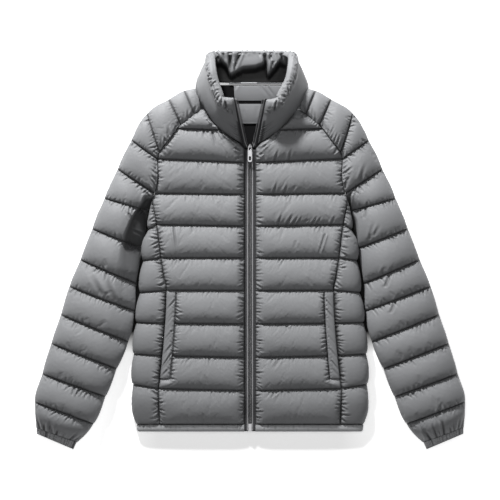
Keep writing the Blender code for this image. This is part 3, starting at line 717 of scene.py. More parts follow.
def front_strokes(seed):
    rng = np.random.default_rng(seed)
    strokes = []
    low, high = -320.0, 258.0
    y = np.linspace(low, 186, 200)
    edge = seam_path(FRONT_INNER, y, 0.5)
    strokes += gather(rng, edge[::-1], 5.6, 13.0, 1.7, 1.7, fan(FRONT_LINES["zip_y"], 1))
    y = np.linspace(low, high, 300)
    outer = seam_path(FRONT_OUTER, y, -0.5)
    calm = outer[(y < FRONT_LINES["seam_y"][1] - 5) | (y > -66)]
    outwards = fan(FRONT_LINES["seam_y"], -1)
    strokes += gather(rng, calm[calm[:, 1] < -200], 6.2, 11.0, 1.7, 1.4, outwards)
    strokes += gather(rng, calm[calm[:, 1] > -100], 6.2, 12.0, 1.8, 1.5, outwards)
    y = np.linspace(-72, -238, 120)
    near, far = read(FRONT_INNER, "x", "y", y), read(FRONT_OUTER, "x", "y", y)
    welt = np.stack([near + (far - near) * (WELT_SHARE - 0.005), y], -1)
    strokes += gather(rng, welt[::-1], 5.6, 12.0, 1.7, 1.7, outwards)
    y = np.linspace(192, 262, 60)
    neck = seam_path(FRONT_INNER, y, 0.5)
    strokes += gather(rng, neck[::-1], 9.0, 16.0, 2.3, 1.0, lambda x, y: 0.5)
    for k in range(1, 10):
        across = np.linspace(0.03, 0.97, 60)
        x, y, _, _ = front_plan(np.full(60, float(k)), across)
        row = np.stack([x, y], -1)
        slant = lambda x, y: rng.normal(0, 0.2) - 0.2
        strokes += gather(rng, row[::-1], 8.0, 12.0, 1.8, 1.5, slant, patchy=0.8)
        strokes += gather(rng, row, 14.0, 8.0, 1.7, 0.8, lambda x, y: rng.normal(0, 0.3), patchy=0.7)
        if k < 9:  # short folds run into the channel's lower corner at the zip
            corner_y = float(FRONT_LINES["zip_y"][k])
            corner_x = float(read(FRONT_INNER, "x", "y", corner_y))
            for j in range(3):
                start = (corner_x + 0.6, corner_y + 12 - 3.8 * j)
                end = (corner_x + 14 - 3.4 * j, corner_y + 4.6 - 1.4 * j)
                strokes.append((*start, *end, 1.4, 2.3))
    return strokes


def front_panel(name, side, seed):
    rng = np.random.default_rng(seed)
    lines = line_numbers(0, 10, lambda k: CHANNEL_ROWS)
    shares = np.linspace(0, 1, FRONT_COLUMNS_MADE + 1)
    line, share = np.meshgrid(lines, shares, indexing="ij")
    held = on_lines(line) | (share == 0) | (share == 1) | under_welt(line, share)
    blown = doubled(inflate(front_grid(line, share, rng), held))
    line, share = doubled(line), doubled(share)
    spacing = np.gradient(blown[..., 1], axis=0) / np.maximum(np.gradient(line, axis=0), 1e-9)
    strokes, calm = front_strokes(seed), off_lines(line, spacing)
    relief = gathered(blown[..., 0], blown[..., 1], FRONT_CREASES[name], strokes, calm)
    blown[..., 2] += relief + groove(line, spacing) * (line > 0.5) * (line < 9.5)
    x, y, near, far = front_plan(line, share)
    # Painted shade: the colour darkens along the quilt lines, the seams, the welt's edge and in the cores of
    # folds, where shade falls.
    drawn = 0.8 * near_seam(from_line(line, spacing)) * (line < 9.5)
    drawn = np.maximum(drawn, np.maximum(0.75 * near_seam(far - x, 1.4), 0.7 * near_seam(x - near, 1.8)))
    drawn = np.maximum(drawn, 0.4 * np.clip(-relief / CREASE_LIMIT, 0, 1.4))
    from_welt = x - near - (far - near) * (WELT_SHARE - 0.01)
    drawn = np.maximum(drawn, 0.85 * at_pocket(line) * near_seam(from_welt, 1.7))
    rest = front_rest(y)
    under = np.stack([x, y, rest + 1.5 * (1 - channel_puff(line))], -1)
    blown[..., 2] = np.maximum(blown[..., 2], under[..., 2] + 1.0)
    piece = closed_wall("shell_front_" + name, blown, under, shell, side, drawn=drawn)
    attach(piece, "jacket")
    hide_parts("front_panel_" + name)
    return piece, blown, line, share


fronts = {}
for name, side, seed in (("left", 1, 11), ("right", -1, 12)):
    fronts[name] = front_panel(name, side, seed)
    print("front", name, len(fronts[name][0].data.polygons), "faces")

# %% [markdown]
# ## Side panels
# A narrow panel closes each side of the body. It starts at the side-front seam, turns round the body's edge
# and comes back a little underneath, where it rests on the table. Its quilt lines go on from the front's, a
# little lower or higher at the edge.

# %% The side panel's surfaces
SIDE_PATH = columns(  # the surface through the stitches, seam to underside: share of the width, and height
    "share z",
    (0, 28.9), (0.12, 29.8), (0.3, 30.5), (0.5, 30.4), (0.7, 29), (0.86, 25.6), (0.96, 20.5), (1, 14),
    (0.97, 7.5), (0.88, 3.2), (0.7, 1.4), (0.45, 1),
)
SIDE_UNDER = columns(
    "share z",
    (0, 19.3), (0.15, 21), (0.35, 21), (0.5, 19), (0.56, 15), (0.5, 11), (0.45, 9),
)
SIDE_DROP = columns(  # how far a quilt line lies above its seam end where it reaches the body's edge
    "line y",
    (0, 0), (1, 8), (2, 3.5), (3, 1.5), (4, -4.4), (5, -5), (6, -9.5), (6.78, -3),
)
SIDE_TOP = 6.78  # the line number at the underarm
PATH_WIDE = 45  # roughly the millimetres that a path's shares stand for


def along_path(table, share):
    """Points of a table's path at shares of its length."""
    across, z = table["share"], table["z"]
    reach = running(np.hypot(np.diff(across) * PATH_WIDE, np.diff(z)))
    at = share * reach[-1]
    return curve(reach, across, at), curve(reach, z, at)


def side_width(y):
    return read(BODY_EDGE, "x", "y", y) - read(FRONT_OUTER, "x", "y", y)


def side_surface(line, share, table):
    across, z = along_path(table, share)
    seam_y = at_line(FRONT_LINES, "seam_y", line)
    y = seam_y + np.interp(line, SIDE_DROP["line"], SIDE_DROP["y"]) * np.clip(across, 0, 1)
    near, far = read(FRONT_OUTER, "x", "y", seam_y) + 0.3, read(BODY_EDGE, "x", "y", seam_y)
    z = z * (1 - HEM_THIN * hem_share(y))
    return np.stack([near + (far - near) * across, y, z], -1)


def side_strokes(seed):
    rng = np.random.default_rng(seed)
    y = np.linspace(-318, 88, 250)
    seam = seam_path(FRONT_OUTER, y, 0.8)
    strokes = gather(rng, seam[::-1], 5.4, 15.0, 1.7, 2.1, fan(FRONT_LINES["seam_y"], 1))
    for k in range(1, 7):
        share = np.linspace(0.1, 0.62, 30)
        row = side_surface(np.full(30, float(k)), share, SIDE_PATH)[:, :2]
        strokes += gather(rng, row[::-1], 9.0, 8.0, 1.7, 0.9, lambda x, y: rng.normal(0, 0.3))
    return strokes


def side_panel(name, side, seed):
    rng = np.random.default_rng(seed)
    lines = line_numbers(0, 6, lambda k: CHANNEL_ROWS)
    lines = np.concatenate([lines, 6 + np.linspace(0, 1, 17)[1:] * (SIDE_TOP - 6)])
    line, share = np.meshgrid(lines, np.linspace(0, 1, 31), indexing="ij")
    base = side_surface(line, share, SIDE_PATH)
    out = -normals_of(base)
    out *= np.sign(out[:, 10:11, 2:3])
    rise = edge_puff(share, 0.2) * (1 - 0.75 * smooth((share - 0.45) / 0.3)) * smooth((1 - share) / 0.2)
    rise = rise * smooth(side_width(base[..., 1]) / 22) * (1 - 0.3 * hem_share(base[..., 1]))
    start = base + out * (8.0 * channel_puff(line) * rise + 0.05 * rng.normal(0, 1, line.shape))[..., None]
    held = on_lines(line) | (share == 0) | (share == 1) | (line >= SIDE_TOP)
    blown = doubled(inflate(start, held, cap=5.0))
    line, share = doubled(line), doubled(share)
    facing_up = smooth(np.abs(normals_of(blown)[..., 2]) * 1.6) * (share < 0.6)
    relief = gathered(blown[..., 0], blown[..., 1], (), side_strokes(seed)) * facing_up
    blown[..., 2] += relief
    spacing = np.full(line.shape, CHANNEL_HIGH)
    inward = groove(line, spacing) * (line > 0.5) * (line < SIDE_TOP)
    blown[..., 2] += inward * facing_up
    blown[..., 2] = np.maximum(blown[..., 2], 0.0)
    under = side_surface(line, share, SIDE_UNDER)
    from_seam = share * np.maximum(side_width(blown[..., 1]), 5)
    # Painted shade: the colour darkens along the quilt lines and the seam, in the cores of folds, and wider
    # at the pocket's opening, where shade falls.
    drawn = 0.8 * near_seam(from_line(line, spacing)) * (line < SIDE_TOP) * (share < 0.8)
    drawn = np.maximum(drawn, 0.4 * np.clip(-relief / CREASE_LIMIT, 0, 1.4))
    opening, seam = near_seam(from_seam, 3.2), 0.75 * near_seam(from_seam, 1.4)
    drawn = np.maximum(drawn, np.where(at_pocket(line), opening, seam))
    piece = closed_wall("shell_side_" + name, blown, under, shell, side, drawn=drawn)
    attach(piece, "jacket")
    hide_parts("side_panel_" + name)
    return piece, blown, line, share


sides = {}
for name, side, seed in (("left", 1, 21), ("right", -1, 22)):
    sides[name] = side_panel(name, side, seed)
    print("side", name, len(sides[name][0].data.polygons), "faces")

# %% [markdown]
# ## Sleeves
# A raglan sleeve is one piece that runs up to the collar. It is folded at its outer edge, and sewn to
# itself along the inner edge from the underarm to the cuff. Laid flat, its front and back lie on each
# other. Only the front is blown up by the solver. The back rests on the table.

# %% The sleeve's surfaces
SLEEVE_MIDDLE = 19.0  # the height at which front and back meet
SLEEVE_COLUMNS_MADE = 46
SLEEVE_LAST = len(SLEEVE_LINES["fold_x"]) - 1
SEAM_END, TUBE_START = 5.4, 6.0  # lines where the raglan seam ends, and where the sleeve is a closed tube
SLEEVE_PROFILE = columns(  # the front over the middle height, from the inner edge to the fold
    "share height",
    (0, 0), (0.02, 2.6), (0.08, 6), (0.25, 12.4), (0.4, 17.2), (0.5, 18.9), (0.6, 18.2), (0.74, 15.4),
    (0.87, 11.4), (0.96, 6.2), (1, 0),
)
SLEEVE_LOW_PROFILE = (0.0, 5.0, 9.6, 15.6, 17.8, 18.4, 18.5, 17.2, 13.4, 7.6, 0.0)  # the same near the cuff


def sleeve_ends(line):
    """The fold, the front seam and the back seam of each row, in plan."""
    numbers = np.arange(SLEEVE_LAST + 1)
    fold = np.stack([curve(numbers, SLEEVE_LINES["fold_" + axis], line) for axis in "xy"], -1)
    front = np.stack([np.interp(line, numbers, SLEEVE_LINES["front_" + axis]) for axis in "xy"], -1)
    back = np.stack([np.interp(line, numbers, SLEEVE_LINES["back_" + axis]) for axis in "xy"], -1)
    tube = np.stack([curve(numbers, SLEEVE_LINES["front_" + axis], line) for axis in "xy"], -1)
    on_seam = seam_path(FRONT_OUTER, front[..., 1], 0.7)
    under = np.clip((line - SEAM_END) / (TUBE_START - SEAM_END), 0, 1)[..., None]
    corner = np.array(UNDERARM) + (0.8, 0.0)
    towards = np.clip((line - 5) / (SEAM_END - 5), 0, 1)[..., None]
    seam_5 = seam_path(FRONT_OUTER, SLEEVE_LINES["front_y"][5], 0.7)
    tube_6 = np.array([SLEEVE_LINES["front_x"][6], SLEEVE_LINES["front_y"][6]])
    between = seam_5 + (corner - seam_5) * towards + (tube_6 - corner) * under
    row = line[..., None]
    front = np.where(row <= 5, on_seam, np.where(row < TUBE_START, between, tube))
    back_5 = np.array([SLEEVE_LINES["back_x"][5], SLEEVE_LINES["back_y"][5]])
    between = back_5 + (corner + (2.0, 0) - back_5) * towards + (tube_6 - corner - (2.0, 0)) * under
    back = np.where(row <= 5, back, np.where(row < TUBE_START, between, tube))
    return fold, front, back


def raglan_share(line):
    """1 where the sleeve's inner end is sewn to the body, and 0 where the sleeve is a closed tube."""
    return 1 - smooth((line - 5.1) / 0.9)


def sleeve_middle(line, share):
    """The height at which front and back meet. The inner edge sinks below the underarm."""
    sunk = 10.0 * smooth((line - 5.2) / 0.8) * (1 - 0.65 * smooth((line - 8.5) / 3))
    return SLEEVE_MIDDLE - 9.5 * smooth((line - 13) / 1.0) - sunk * (1 - smooth(share / 0.36))


def rounding(share, reach=0.5, power=2.6):
    """Rises from 0 at share 0 to 1 at reach, as a round edge does."""
    return (1 - np.clip(1 - share / reach, 0, 1) ** power) ** 0.55


def sleeve_front(line, share):
    """The front's surface through the stitches, and how open its inner end is: 1 on the raglan seam."""
    fold, front, _ = sleeve_ends(line)
    spot = front + (fold - front) * share[..., None]
    open_end = raglan_share(line)
    lift = neck_lift(fold[..., 1] * 0.3 + front[..., 1] * 0.7) * np.where(open_end > 0, 1, 0)
    tail = smooth((line - 13.3) / 0.7)
    high = curve(SLEEVE_PROFILE["share"], SLEEVE_PROFILE["height"], share)
    low = curve(SLEEVE_PROFILE["share"], SLEEVE_LOW_PROFILE, share)
    closed = (high + (low - high) * smooth((line - 8) / 3)) * (1 - 0.42 * tail)
    seam = (9.4 + 5.4 * (1 - (1 - np.clip(share / 0.35, 0, 1)) ** 2)) * rounding(1 - share, 0.6, 2.2)
    rise = open_end * seam + (1 - open_end) * closed
    z = sleeve_middle(line, share) + rise + lift
    return np.stack([spot[..., 0], spot[..., 1], z], -1), open_end


def sleeve_back(line, share):
    """The back's surface, which rests on the table and is drawn up a little at each quilt line."""
    fold, _, back = sleeve_ends(line)
    spot = back + (fold - back) * share[..., None]
    open_end = raglan_share(line)
    middle = sleeve_middle(line, share)
    body = rounding(1 - share, 0.22) * ((1 - open_end) * rounding(share, 0.22) + open_end)
    top = neck_lift(fold[..., 1] * 0.3 + back[..., 1] * 0.7) * (share == 1) * (line < TUBE_START)
    seam = open_end * (1 - smooth(share / 0.18))
    down = middle * body - 3.5 * (1 - channel_puff(-line)) * body - seam * 9.0
    round_edge = 4.0 * np.exp(-(((share - 0.05) / 0.05) ** 2)) * (1 - open_end)
    round_edge = round_edge * (1 - smooth((line - 10) / 1.5))
    return np.stack([spot[..., 0] - round_edge, spot[..., 1], middle - down + top], -1)


SLEEVE_CREASES = {
    "right": (
        (192, 103, 203, 70, 3.4, 2.6), (224.9, 69.8, 216, 50.8, 2.6, 2.4), (250, -92, 270, -36, 5, 2),
        (275, -80, 297, -36, 4.6, 1.6), (200, 30, 232, 44, 2.4, 1.4), (329.5, -266, 319, -236, 2.4, 1.8),
        (322, -266, 307, -238, 2.4, 1.6), (213, 50, 232, 78, 3, 1.4), (183, 112, 212, 133, 3, 1.6),
        (186, 100, 210, 122, 2.8, 1.5),
    ),
    "left": (
        (186, 106, 183, 80, 2.6, 2), (251, -66, 267, -22, 3.2, 2.4), (261, -114, 279, -72, 3, 1.9),
        (243, -46, 251, -24, 2.8, 1.2), (347.5, -305, 360, -276, 3, 1.6), (298, -272, 310, -250, 2.8, 1),
        (174, 116, 189, 150, 3.2, 2), (182, 100, 199, 128, 3, 1.9), (212, 62, 219, 99, 3, 1.8),
        (222, 22, 229, 58, 3.2, 1.6), (204, 130, 216, 168, 3.4, 1.4), (229, 28, 243, 52, 3.2, 1.2),
    ),
}


# Each sleeve sinks into the armpit on the body's side of x, by deep millimetres, over a slope soft wide.
HOLLOWS = {
    "right": columns(
        "y x deep soft",
        (-90, 262, 0, 30), (-45, 252, 3, 26), (-10, 245, 7, 16), (18.6, 239, 10, 10), (50, 227, 12, 8),
        (72, 216, 14, 8), (90, 202, 13, 7), (104, 191, 0, 6),
    ),
    "left": columns(
        "y x deep soft",
        (-60, 214, 0, 14), (-20, 209, 5, 10), (15, 204, 9, 8), (54, 201, 12, 7), (72, 193, 13, 6),
        (95, 190, 10, 5), (108, 188, 0, 4),
    ),
}


def hollow(name, x, y):
    limit, deep, soft = (read(HOLLOWS[name], column, "y", y) for column in ("x", "deep", "soft"))
    return deep * smooth((limit - x) / soft)


def sleeve_strokes(seed):
    rng = np.random.default_rng(seed)
    strokes = []
    y = np.linspace(96, 258, 120)
    seam = seam_path(FRONT_OUTER, y, 1.2)
    strokes += gather(rng, seam[::-1], 6.4, 19.0, 2.0, 1.9, lambda x, y: 0.75)
    for k in range(1, SLEEVE_LAST):
        share = np.linspace(0.04, 0.96, 50)
        row = sleeve_front(np.full(50, float(k)), share)[0][:, :2]
        strength = (0.0, 0.9, 1.8, 2.0, 2.3)[min(k, 5) - 1]
        above, below = lambda x, y: rng.normal(0, 0.25) + 0.15, lambda x, y: rng.normal(0, 0.3)
        strokes += gather(rng, row[::-1], 6.5, 14.0, 1.8, strength, above, patchy=0.5)
        strokes += gather(rng, row, 9.0, 10.0, 1.8, 0.8 * strength, below, patchy=0.6)
    share = np.linspace(0.06, 0.94, 50)
    end = sleeve_front(np.full(50, float(SLEEVE_LAST)), share)[0][:, :2]
    centre = end.mean(0)
    folds = gather(rng, end, 9.5, 27.0, 2.6, 3.2, lambda x, y: -0.012 * (x - centre[0]), patchy=0.3)
    return strokes, folds


def sleeve(name, side, seed):
    rng = np.random.default_rng(seed)
    fold, front, _ = sleeve_ends(np.arange(SLEEVE_LAST + 1.0))
    gaps = np.maximum(*(np.linalg.norm(np.diff(ends, axis=0), axis=1) for ends in (fold, front)))
    lines = line_numbers(0, SLEEVE_LAST, lambda k: max(6, int(round(gaps[k] / 2.7))))
    line, share = np.meshgrid(lines, np.linspace(0, 1, SLEEVE_COLUMNS_MADE + 1), indexing="ij")
    base, open_end = sleeve_front(line, share)
    out = normals_of(base)
    out *= np.sign(out[:, 20:21, 2:3])
    fold, front, _ = sleeve_ends(line)
    width = np.linalg.norm(fold - front, axis=-1)
    on_raglan = 0.35 + 0.65 * edge_puff(share * width, 9)
    on_tube = 0.2 + 0.8 * edge_puff(share * width, 26)
    inner_end = open_end * on_raglan + (1 - open_end) * on_tube
    ends = inner_end * (0.06 + 0.94 * edge_puff((1 - share) * width, 40))
    gap = np.zeros_like(share)  # the height of each channel at each share
    for k in range(SLEEVE_LAST):
        here = (line >= k) & (line <= k + 1)
        fold_ends, front_ends, _ = sleeve_ends(np.array([float(k), k + 1.0]))
        near, far = (np.linalg.norm(both[0] - both[1]) for both in (front_ends, fold_ends))
        gap[here] = (near + (far - near) * share)[here]
    tall = 10.4 * np.clip(gap / 58, 0.15, 1.1) ** 0.8 * (1 - 0.2 * smooth(line - 13))
    rise = tall * channel_puff(-line) * ends + 0.05 * rng.normal(0, 1, line.shape)
    start = base + out * rise[..., None]
    held = on_lines(line) | (share == 0) | (share == 1)
    blown = doubled(inflate(start[::-1], held[::-1])[::-1])  # rows run upwards for the solver
    line, share = doubled(line), doubled(share)
    facing_up = smooth(np.abs(normals_of(blown)[..., 2]) * 1.5)
    spacing = doubled(gap)
    (strokes, folds), calm = sleeve_strokes(seed), off_lines(line, spacing, 1.8)
    # Painted shade in the cores of the folds at the cuff.
    pinched = np.clip(-crease_heights(blown[..., 0], blown[..., 1], folds) / 3.2, 0, 1)
    placed = (*SLEEVE_CREASES[name], *folds)
    relief = gathered(blown[..., 0], blown[..., 1], placed, strokes, calm) * facing_up
    blown[..., 2] += relief
    sunk = hollow(name, blown[..., 0], blown[..., 1])
    blown[..., 2] -= np.minimum(sunk, np.maximum(blown[..., 2] - 4, 0))
    fold, front, _ = sleeve_ends(line)
    inward = share * np.linalg.norm(fold - front, axis=-1)
    # Painted shade: the colour darkens along the quilt lines, the raglan seam, in the cores of folds and in
    # the armpit hollow, where shade falls.
    drawn = 0.8 * near_seam(from_line(line, spacing), 1.6) * (line > 0.5)
    drawn = np.maximum(drawn, 0.75 * near_seam(inward, 1.5) * (line < TUBE_START))
    painted_fold_shade = 0.4 * np.clip(-relief / CREASE_LIMIT, 0, 1)
    drawn = np.maximum.reduce([drawn, 0.85 * pinched, 0.72 * smooth(sunk / 11), painted_fold_shade])
    blown[..., 2] += groove(line, spacing, 3.4, 1.6) * facing_up * (line > 0.5) * (line < 13.5)
    under = sleeve_back(line, share)
    edge = (share == 0) & (line >= TUBE_START) | (share == 1)
    under = np.where(edge[..., None], blown, under)
    under[..., 2] = np.maximum(under[..., 2], 0.0)
    blown[..., 2] = np.maximum(blown[..., 2], under[..., 2])
    piece = closed_wall("shell_sleeve_" + name, blown, under, shell, side, keep_inner=0.15, drawn=drawn)
    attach(piece, "jacket")
    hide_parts("sleeve_" + name)
    return piece, blown, line, share


sleeves = {}
for name, side, seed in (("left", 1, 31), ("right", -1, 32)):
    sleeves[name] = sleeve(name, side, seed)
    print("sleeve", name, len(sleeves[name][0].data.polygons), "faces")

# %% [markdown]
# ## Back panel
# The back lies on the table under everything else. It is quilted like the front, but only its underside can
# be seen. That side is flat in the middle of each channel, where it rests, and drawn up along the stitches.
# No solver is needed for a shape that its own weight presses flat.

# %% The back panel
BACK_LINES = 5  # sleeve lines along the back's raglan seams
BACK_SHARE = 0.44  # how far the back reaches under a side panel


def back_rows():
    """Each row's Y, half width, and line number, from hem to collar."""
    low = np.concatenate([line_numbers(0, 6, lambda k: 12), 6 + np.linspace(0, 1, 10)[1:] * 0.7])
    y = at_line(FRONT_LINES, "seam_y", low)
    near = read(FRONT_OUTER, "x", "y", y)
    edge = near + (read(BODY_EDGE, "x", "y", y) - near) * BACK_SHARE
    high = line_numbers(0, BACK_LINES, lambda k: 11)[::-1]
    high_y, high_edge = at_line(SLEEVE_LINES, "back_y", high), at_line(SLEEVE_LINES, "back_x", high)
    return np.concatenate([y, high_y]), np.concatenate([edge, high_edge - 0.5]), np.concatenate([low, high])


row_y, row_edge, row_line = back_rows()
share = np.linspace(-1, 1, 81)[None, :] + 0 * row_y[:, None]
full = channel_puff(row_line)[:, None] * edge_puff((1 - np.abs(share)) * 200, 22)
thin = (1 - HEM_THIN * hem_share(row_y))[:, None]
across, along = share * row_edge[:, None], row_y[:, None] + 0 * share
under = np.stack([across, along, 4.0 * (1 - full) * thin], -1)
top = np.stack([across, along, (10.0 + 6.0 * full) * thin], -1)
back = closed_wall("shell_back", under, top, shell, keep_inner=0.2)
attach(back, "jacket")
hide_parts("back_panel")
print("back", len(back.data.polygons), "faces")

# %% [markdown]
# ## Collar
# The collar stands up round the neck. Its outside is one padded strip that rolls over the rim, and gathers
# into short folds on the inside of the roll. Its inside is a softer facing. At the back it has fallen open,
# and lies on the table in a few deep V folds. Both are drawn from one middle surface, by station along the
# neck seam and level up to the rim.

# %% The collar's middle surface
COLLAR = columns(  # from the front edge, round the neck, to the centre back
    "seam_x seam_y seam_z rim_x rim_y rim_z thick",
    (14.5, 200.5, 29.5, 30, 279.5, 80, 1), (36.5, 214.5, 33, 42, 279, 85, 1),
    (57, 230.8, 35, 53, 281.5, 88, 1), (73, 249, 35.5, 58, 294, 87, 1), (84, 264.8, 35, 65, 310, 84, 1),
    (95.5, 284, 31, 70.5, 330, 80, 1), (102, 303, 22, 73, 349, 66, 1), (94, 316, 15, 74.5, 366, 40, 1.1),
    (62, 313.5, 14.5, 61, 370.3, 25, 1.3), (31, 312.5, 14.5, 28, 371, 22, 1.4),
    (0, 312.2, 14.5, 0, 371.4, 22, 1.4),
)
CENTRE_BACK = len(COLLAR["seam_x"]) - 1
COLLAR_LEAN = 3.2  # the back of the collar fell a little towards the wearer's left
LEFT_LOWER = 3.0  # the left front edge ends a little lower than the right
COLLAR_HIGH = 75  # roughly the millimetres from the neck seam to the rim
FACING_HALF = 70  # at the back the facing lies flat as far as this from the middle
OUTER_PATH = columns(  # the outside, from the seam up and over the rim: level, and distance from the middle
    "level off",
    (0, 3.2), (0.15, 5), (0.45, 5.4), (0.66, 4.8), (0.78, 6.6), (0.89, 7.4), (0.97, 5.6), (1.015, 2),
    (1.02, -2), (0.99, -5.5), (0.94, -8), (0.9, -9),
)


def collar_frame(station, level):
    """A point of the middle surface, and the way out of the neck there.

    Stations run from -10 at the wearer's right front edge, past 0 at the centre back, to 10.
    """
    row = CENTRE_BACK - np.abs(station)
    stations = np.arange(CENTRE_BACK + 1)
    sign = np.where(station < 0, -1.0, 1.0)
    ends = []
    for end in ("seam_", "rim_"):
        x, y, z = (curve(stations, COLLAR[end + axis], row) for axis in "xyz")
        lower = LEFT_LOWER * (sign > 0) * (1 - smooth(row / 3)) * (end == "rim_")
        ends.append(np.stack([x * sign + COLLAR_LEAN * smooth((row - 2) / 3), y - lower, z], -1))
    seam, rim = ends
    middle = seam + (rim - seam) * level[..., None]
    along = np.gradient(middle, axis=0)
    out = np.cross(rim - seam, along)
    out /= np.maximum(np.linalg.norm(out, axis=-1, keepdims=True), 1e-9)
    return middle, out


def collar_thick(station):
    return curve(np.arange(CENTRE_BACK + 1), COLLAR["thick"], CENTRE_BACK - np.abs(station))


def front_ramp(station):
    """Thins the collar towards its two front edges."""
    return 0.4 + 0.6 * smooth((CENTRE_BACK - np.abs(station)) / 0.55)


def bow(level):
    """How far the collar bulges outwards between its seam and its rim."""
    return 5.0 * np.clip(level, 0, 1) * (1 - np.clip(level, 0, 1))


half_stations = np.linspace(0, CENTRE_BACK, 131)
collar_stations = np.concatenate([-half_stations[:0:-1], half_stations])

# %% The outside of the collar
COLLAR_ROWS = 91
station, path = np.meshgrid(collar_stations, np.linspace(0, 1, COLLAR_ROWS), indexing="ij")
steps = np.hypot(np.diff(OUTER_PATH["level"]) * COLLAR_HIGH, np.diff(OUTER_PATH["off"]))
reach = running(steps)
level = curve(reach, OUTER_PATH["level"], path * reach[-1])
off = curve(reach, OUTER_PATH["off"], path * reach[-1])
middle, out = collar_frame(station, level)
thick = collar_thick(station)
off = off * np.where(off > 0, thick, 1.0) * front_ramp(station)
outside = middle + out * (off + bow(level))[..., None]
outside_in = middle + out * (np.minimum(off - 1.5, 0.3) + bow(level))[..., None]

arc = lengths_along(outside, 0)[:, int(0.8 * COLLAR_ROWS)]  # along the rim
arc = (arc - arc[len(arc) // 2])[:, None] + 0 * path
height = lengths_along(outside, 1)
rim_height = float(height[len(height) // 4, int(0.72 * COLLAR_ROWS)])
rng = np.random.default_rng(41)
rim_line = np.stack([np.linspace(-230, 230, 200), np.full(200, rim_height - 6)], -1)
rim_strokes = gather(rng, rim_line, 5.5, 13.0, 1.7, 2.1, lambda x, y: rng.normal(0, 0.5), patchy=0.2)
rim_strokes += gather(rng, rim_line + (0, 7), 4.5, 8.0, 1.4, 1.7, lambda x, y: rng.normal(0, 0.7), patchy=0.2)
seam_line = np.stack([np.linspace(-230, 230, 200), np.full(200, 1.5)], -1)
rim_strokes += gather(rng, seam_line, 6.5, 12.0, 2.2, 0.8, lambda x, y: 0.5 * np.sign(x))
front_arc = float(arc[-1, 0])
for side in (-1, 1):  # the pinched folds at the front corners of the rim, and short ones up the front edges
    a = side * front_arc
    rim_strokes += [
        (a - side * 22, rim_height + 14, a - side * 17, rim_height - 12, 2.4, 3.2),
        (a - side * 28, rim_height + 14, a - side * 30, rim_height - 3, 2.0, 2.2),
        (a - side * 38, rim_height + 10, a - side * 34, rim_height - 8, 1.8, 1.3),
        (a - side * 49, rim_height + 12, a - side * 54, rim_height - 2, 1.8, 1.2),
        (a - side * 66, rim_height + 11, a - side * 62, rim_height - 5, 1.8, 1.2),
    ]
    for k in range(7):
        low = 4 + 5.0 * k
        end = a - side * rng.uniform(12, 26)
        rim_strokes.append((a - side * 0.5, low, end, low + 4.5, 1.15, 2.8 * 0.92**k))
normal = normals_of(outside)
normal *= np.sign((normal * out).sum(-1))[:, 18:19, None]
relief = crease_heights(arc, height, rim_strokes)
outside = outside + normal * (relief * smooth(height / 3))[..., None]
outside[..., 2] = np.maximum(outside[..., 2], 0.0)
outside_in[..., 2] = np.maximum(outside_in[..., 2], 0.4)
# Painted shade: the colour darkens along the neck seam, along the front edges and in the cores of the
# creases.
drawn = np.maximum.reduce([
    0.75 * near_seam(height, 1.7),
    0.75 * near_seam(np.abs(arc) - np.abs(arc[[0, -1]]).min(), 2.4) * (height < 0.75 * rim_height),
    0.5 * np.clip(-relief / 2.2, 0, 1.4),
])
collar = closed_wall("collar_outside", outside, outside_in, shell, keep_inner=0.15, drawn=drawn)
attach(collar, "jacket")
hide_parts("collar_outer")
print("collar", len(collar.data.polygons), "faces; rim", round(float(arc[-1, 0] - arc[0, 0])), "mm")

# %% The facing inside the collar
FACING_FOLDS = (
    (-36.6, 368, -36, 327, 3.4, 5), (-18.2, 367, -31.5, 334, 2.8, 3.2), (-30, 350, -33, 331, 2.2, -2),
    (-62, 365, -51, 345, 3, 3), (-50, 367, -43, 348, 2.6, 2), (-27, 325, -19, 337, 2, 1.8),
    (-20, 324, -12, 335, 2, 1.4), (27.3, 365, 33.1, 324, 3.4, 5), (44, 352, 34.4, 325, 2.6, 2.6),
    (40, 368, 37, 350, 2.4, 2), (57.3, 366, 61.4, 346, 3, 3), (50, 366, 53, 350, 2.4, 1.6),
    (18, 367, 22, 357, 2.2, 1.4), (8, 368, 10, 361, 2, 0.8), (-6, 368, -8, 362, 2, 0.7),
)
FACING_EDGE = columns(  # where the back's rolled part ends, between the folds
    "x y",
    (-70, 352), (-54, 358), (-43, 350), (-35.6, 332), (-26, 338), (-13, 345), (10, 347), (21, 351),
    (30, 356), (34, 332), (40, 340), (55.5, 359), (70, 350),
)
station, level = np.meshgrid(collar_stations, np.linspace(0.02, 0.99, 47), indexing="ij")
middle, out = collar_frame(station, level)
wall = 1.6 + 1.4 * level
under = middle + out * (bow(level) - 0.2)[..., None]
inside = middle + out * (bow(level) - (0.2 + wall * front_ramp(station)))[..., None]
flat = smooth((FACING_HALF - np.abs(inside[..., 0])) / 16) * smooth((inside[..., 1] - 306) / 8)
# At the back the facing lies nearly flat from the rim to the edge of a roll. From there it falls steeply to
# the neck seam.
edge = np.interp(inside[..., 0], FACING_EDGE["x"], FACING_EDGE["y"])
crest = smooth((inside[..., 1] - edge + 17) / 17) * (1 - 0.45 * smooth((inside[..., 1] - edge) / 26))
pillow = 13.0 * crest * flat
inside[..., 2] += pillow
folded = crease_heights(inside[..., 0], inside[..., 1], FACING_FOLDS)
inside[..., 2] += 1.5 * folded * flat * smooth(level / 0.25)
inside[..., 2] = np.maximum(inside[..., 2], under[..., 2] + 0.5 * flat)
under[..., 2] += 0.55 * pillow
collar_inside = closed_wall("collar_inside", inside, under, facing, keep_inner=0.15)
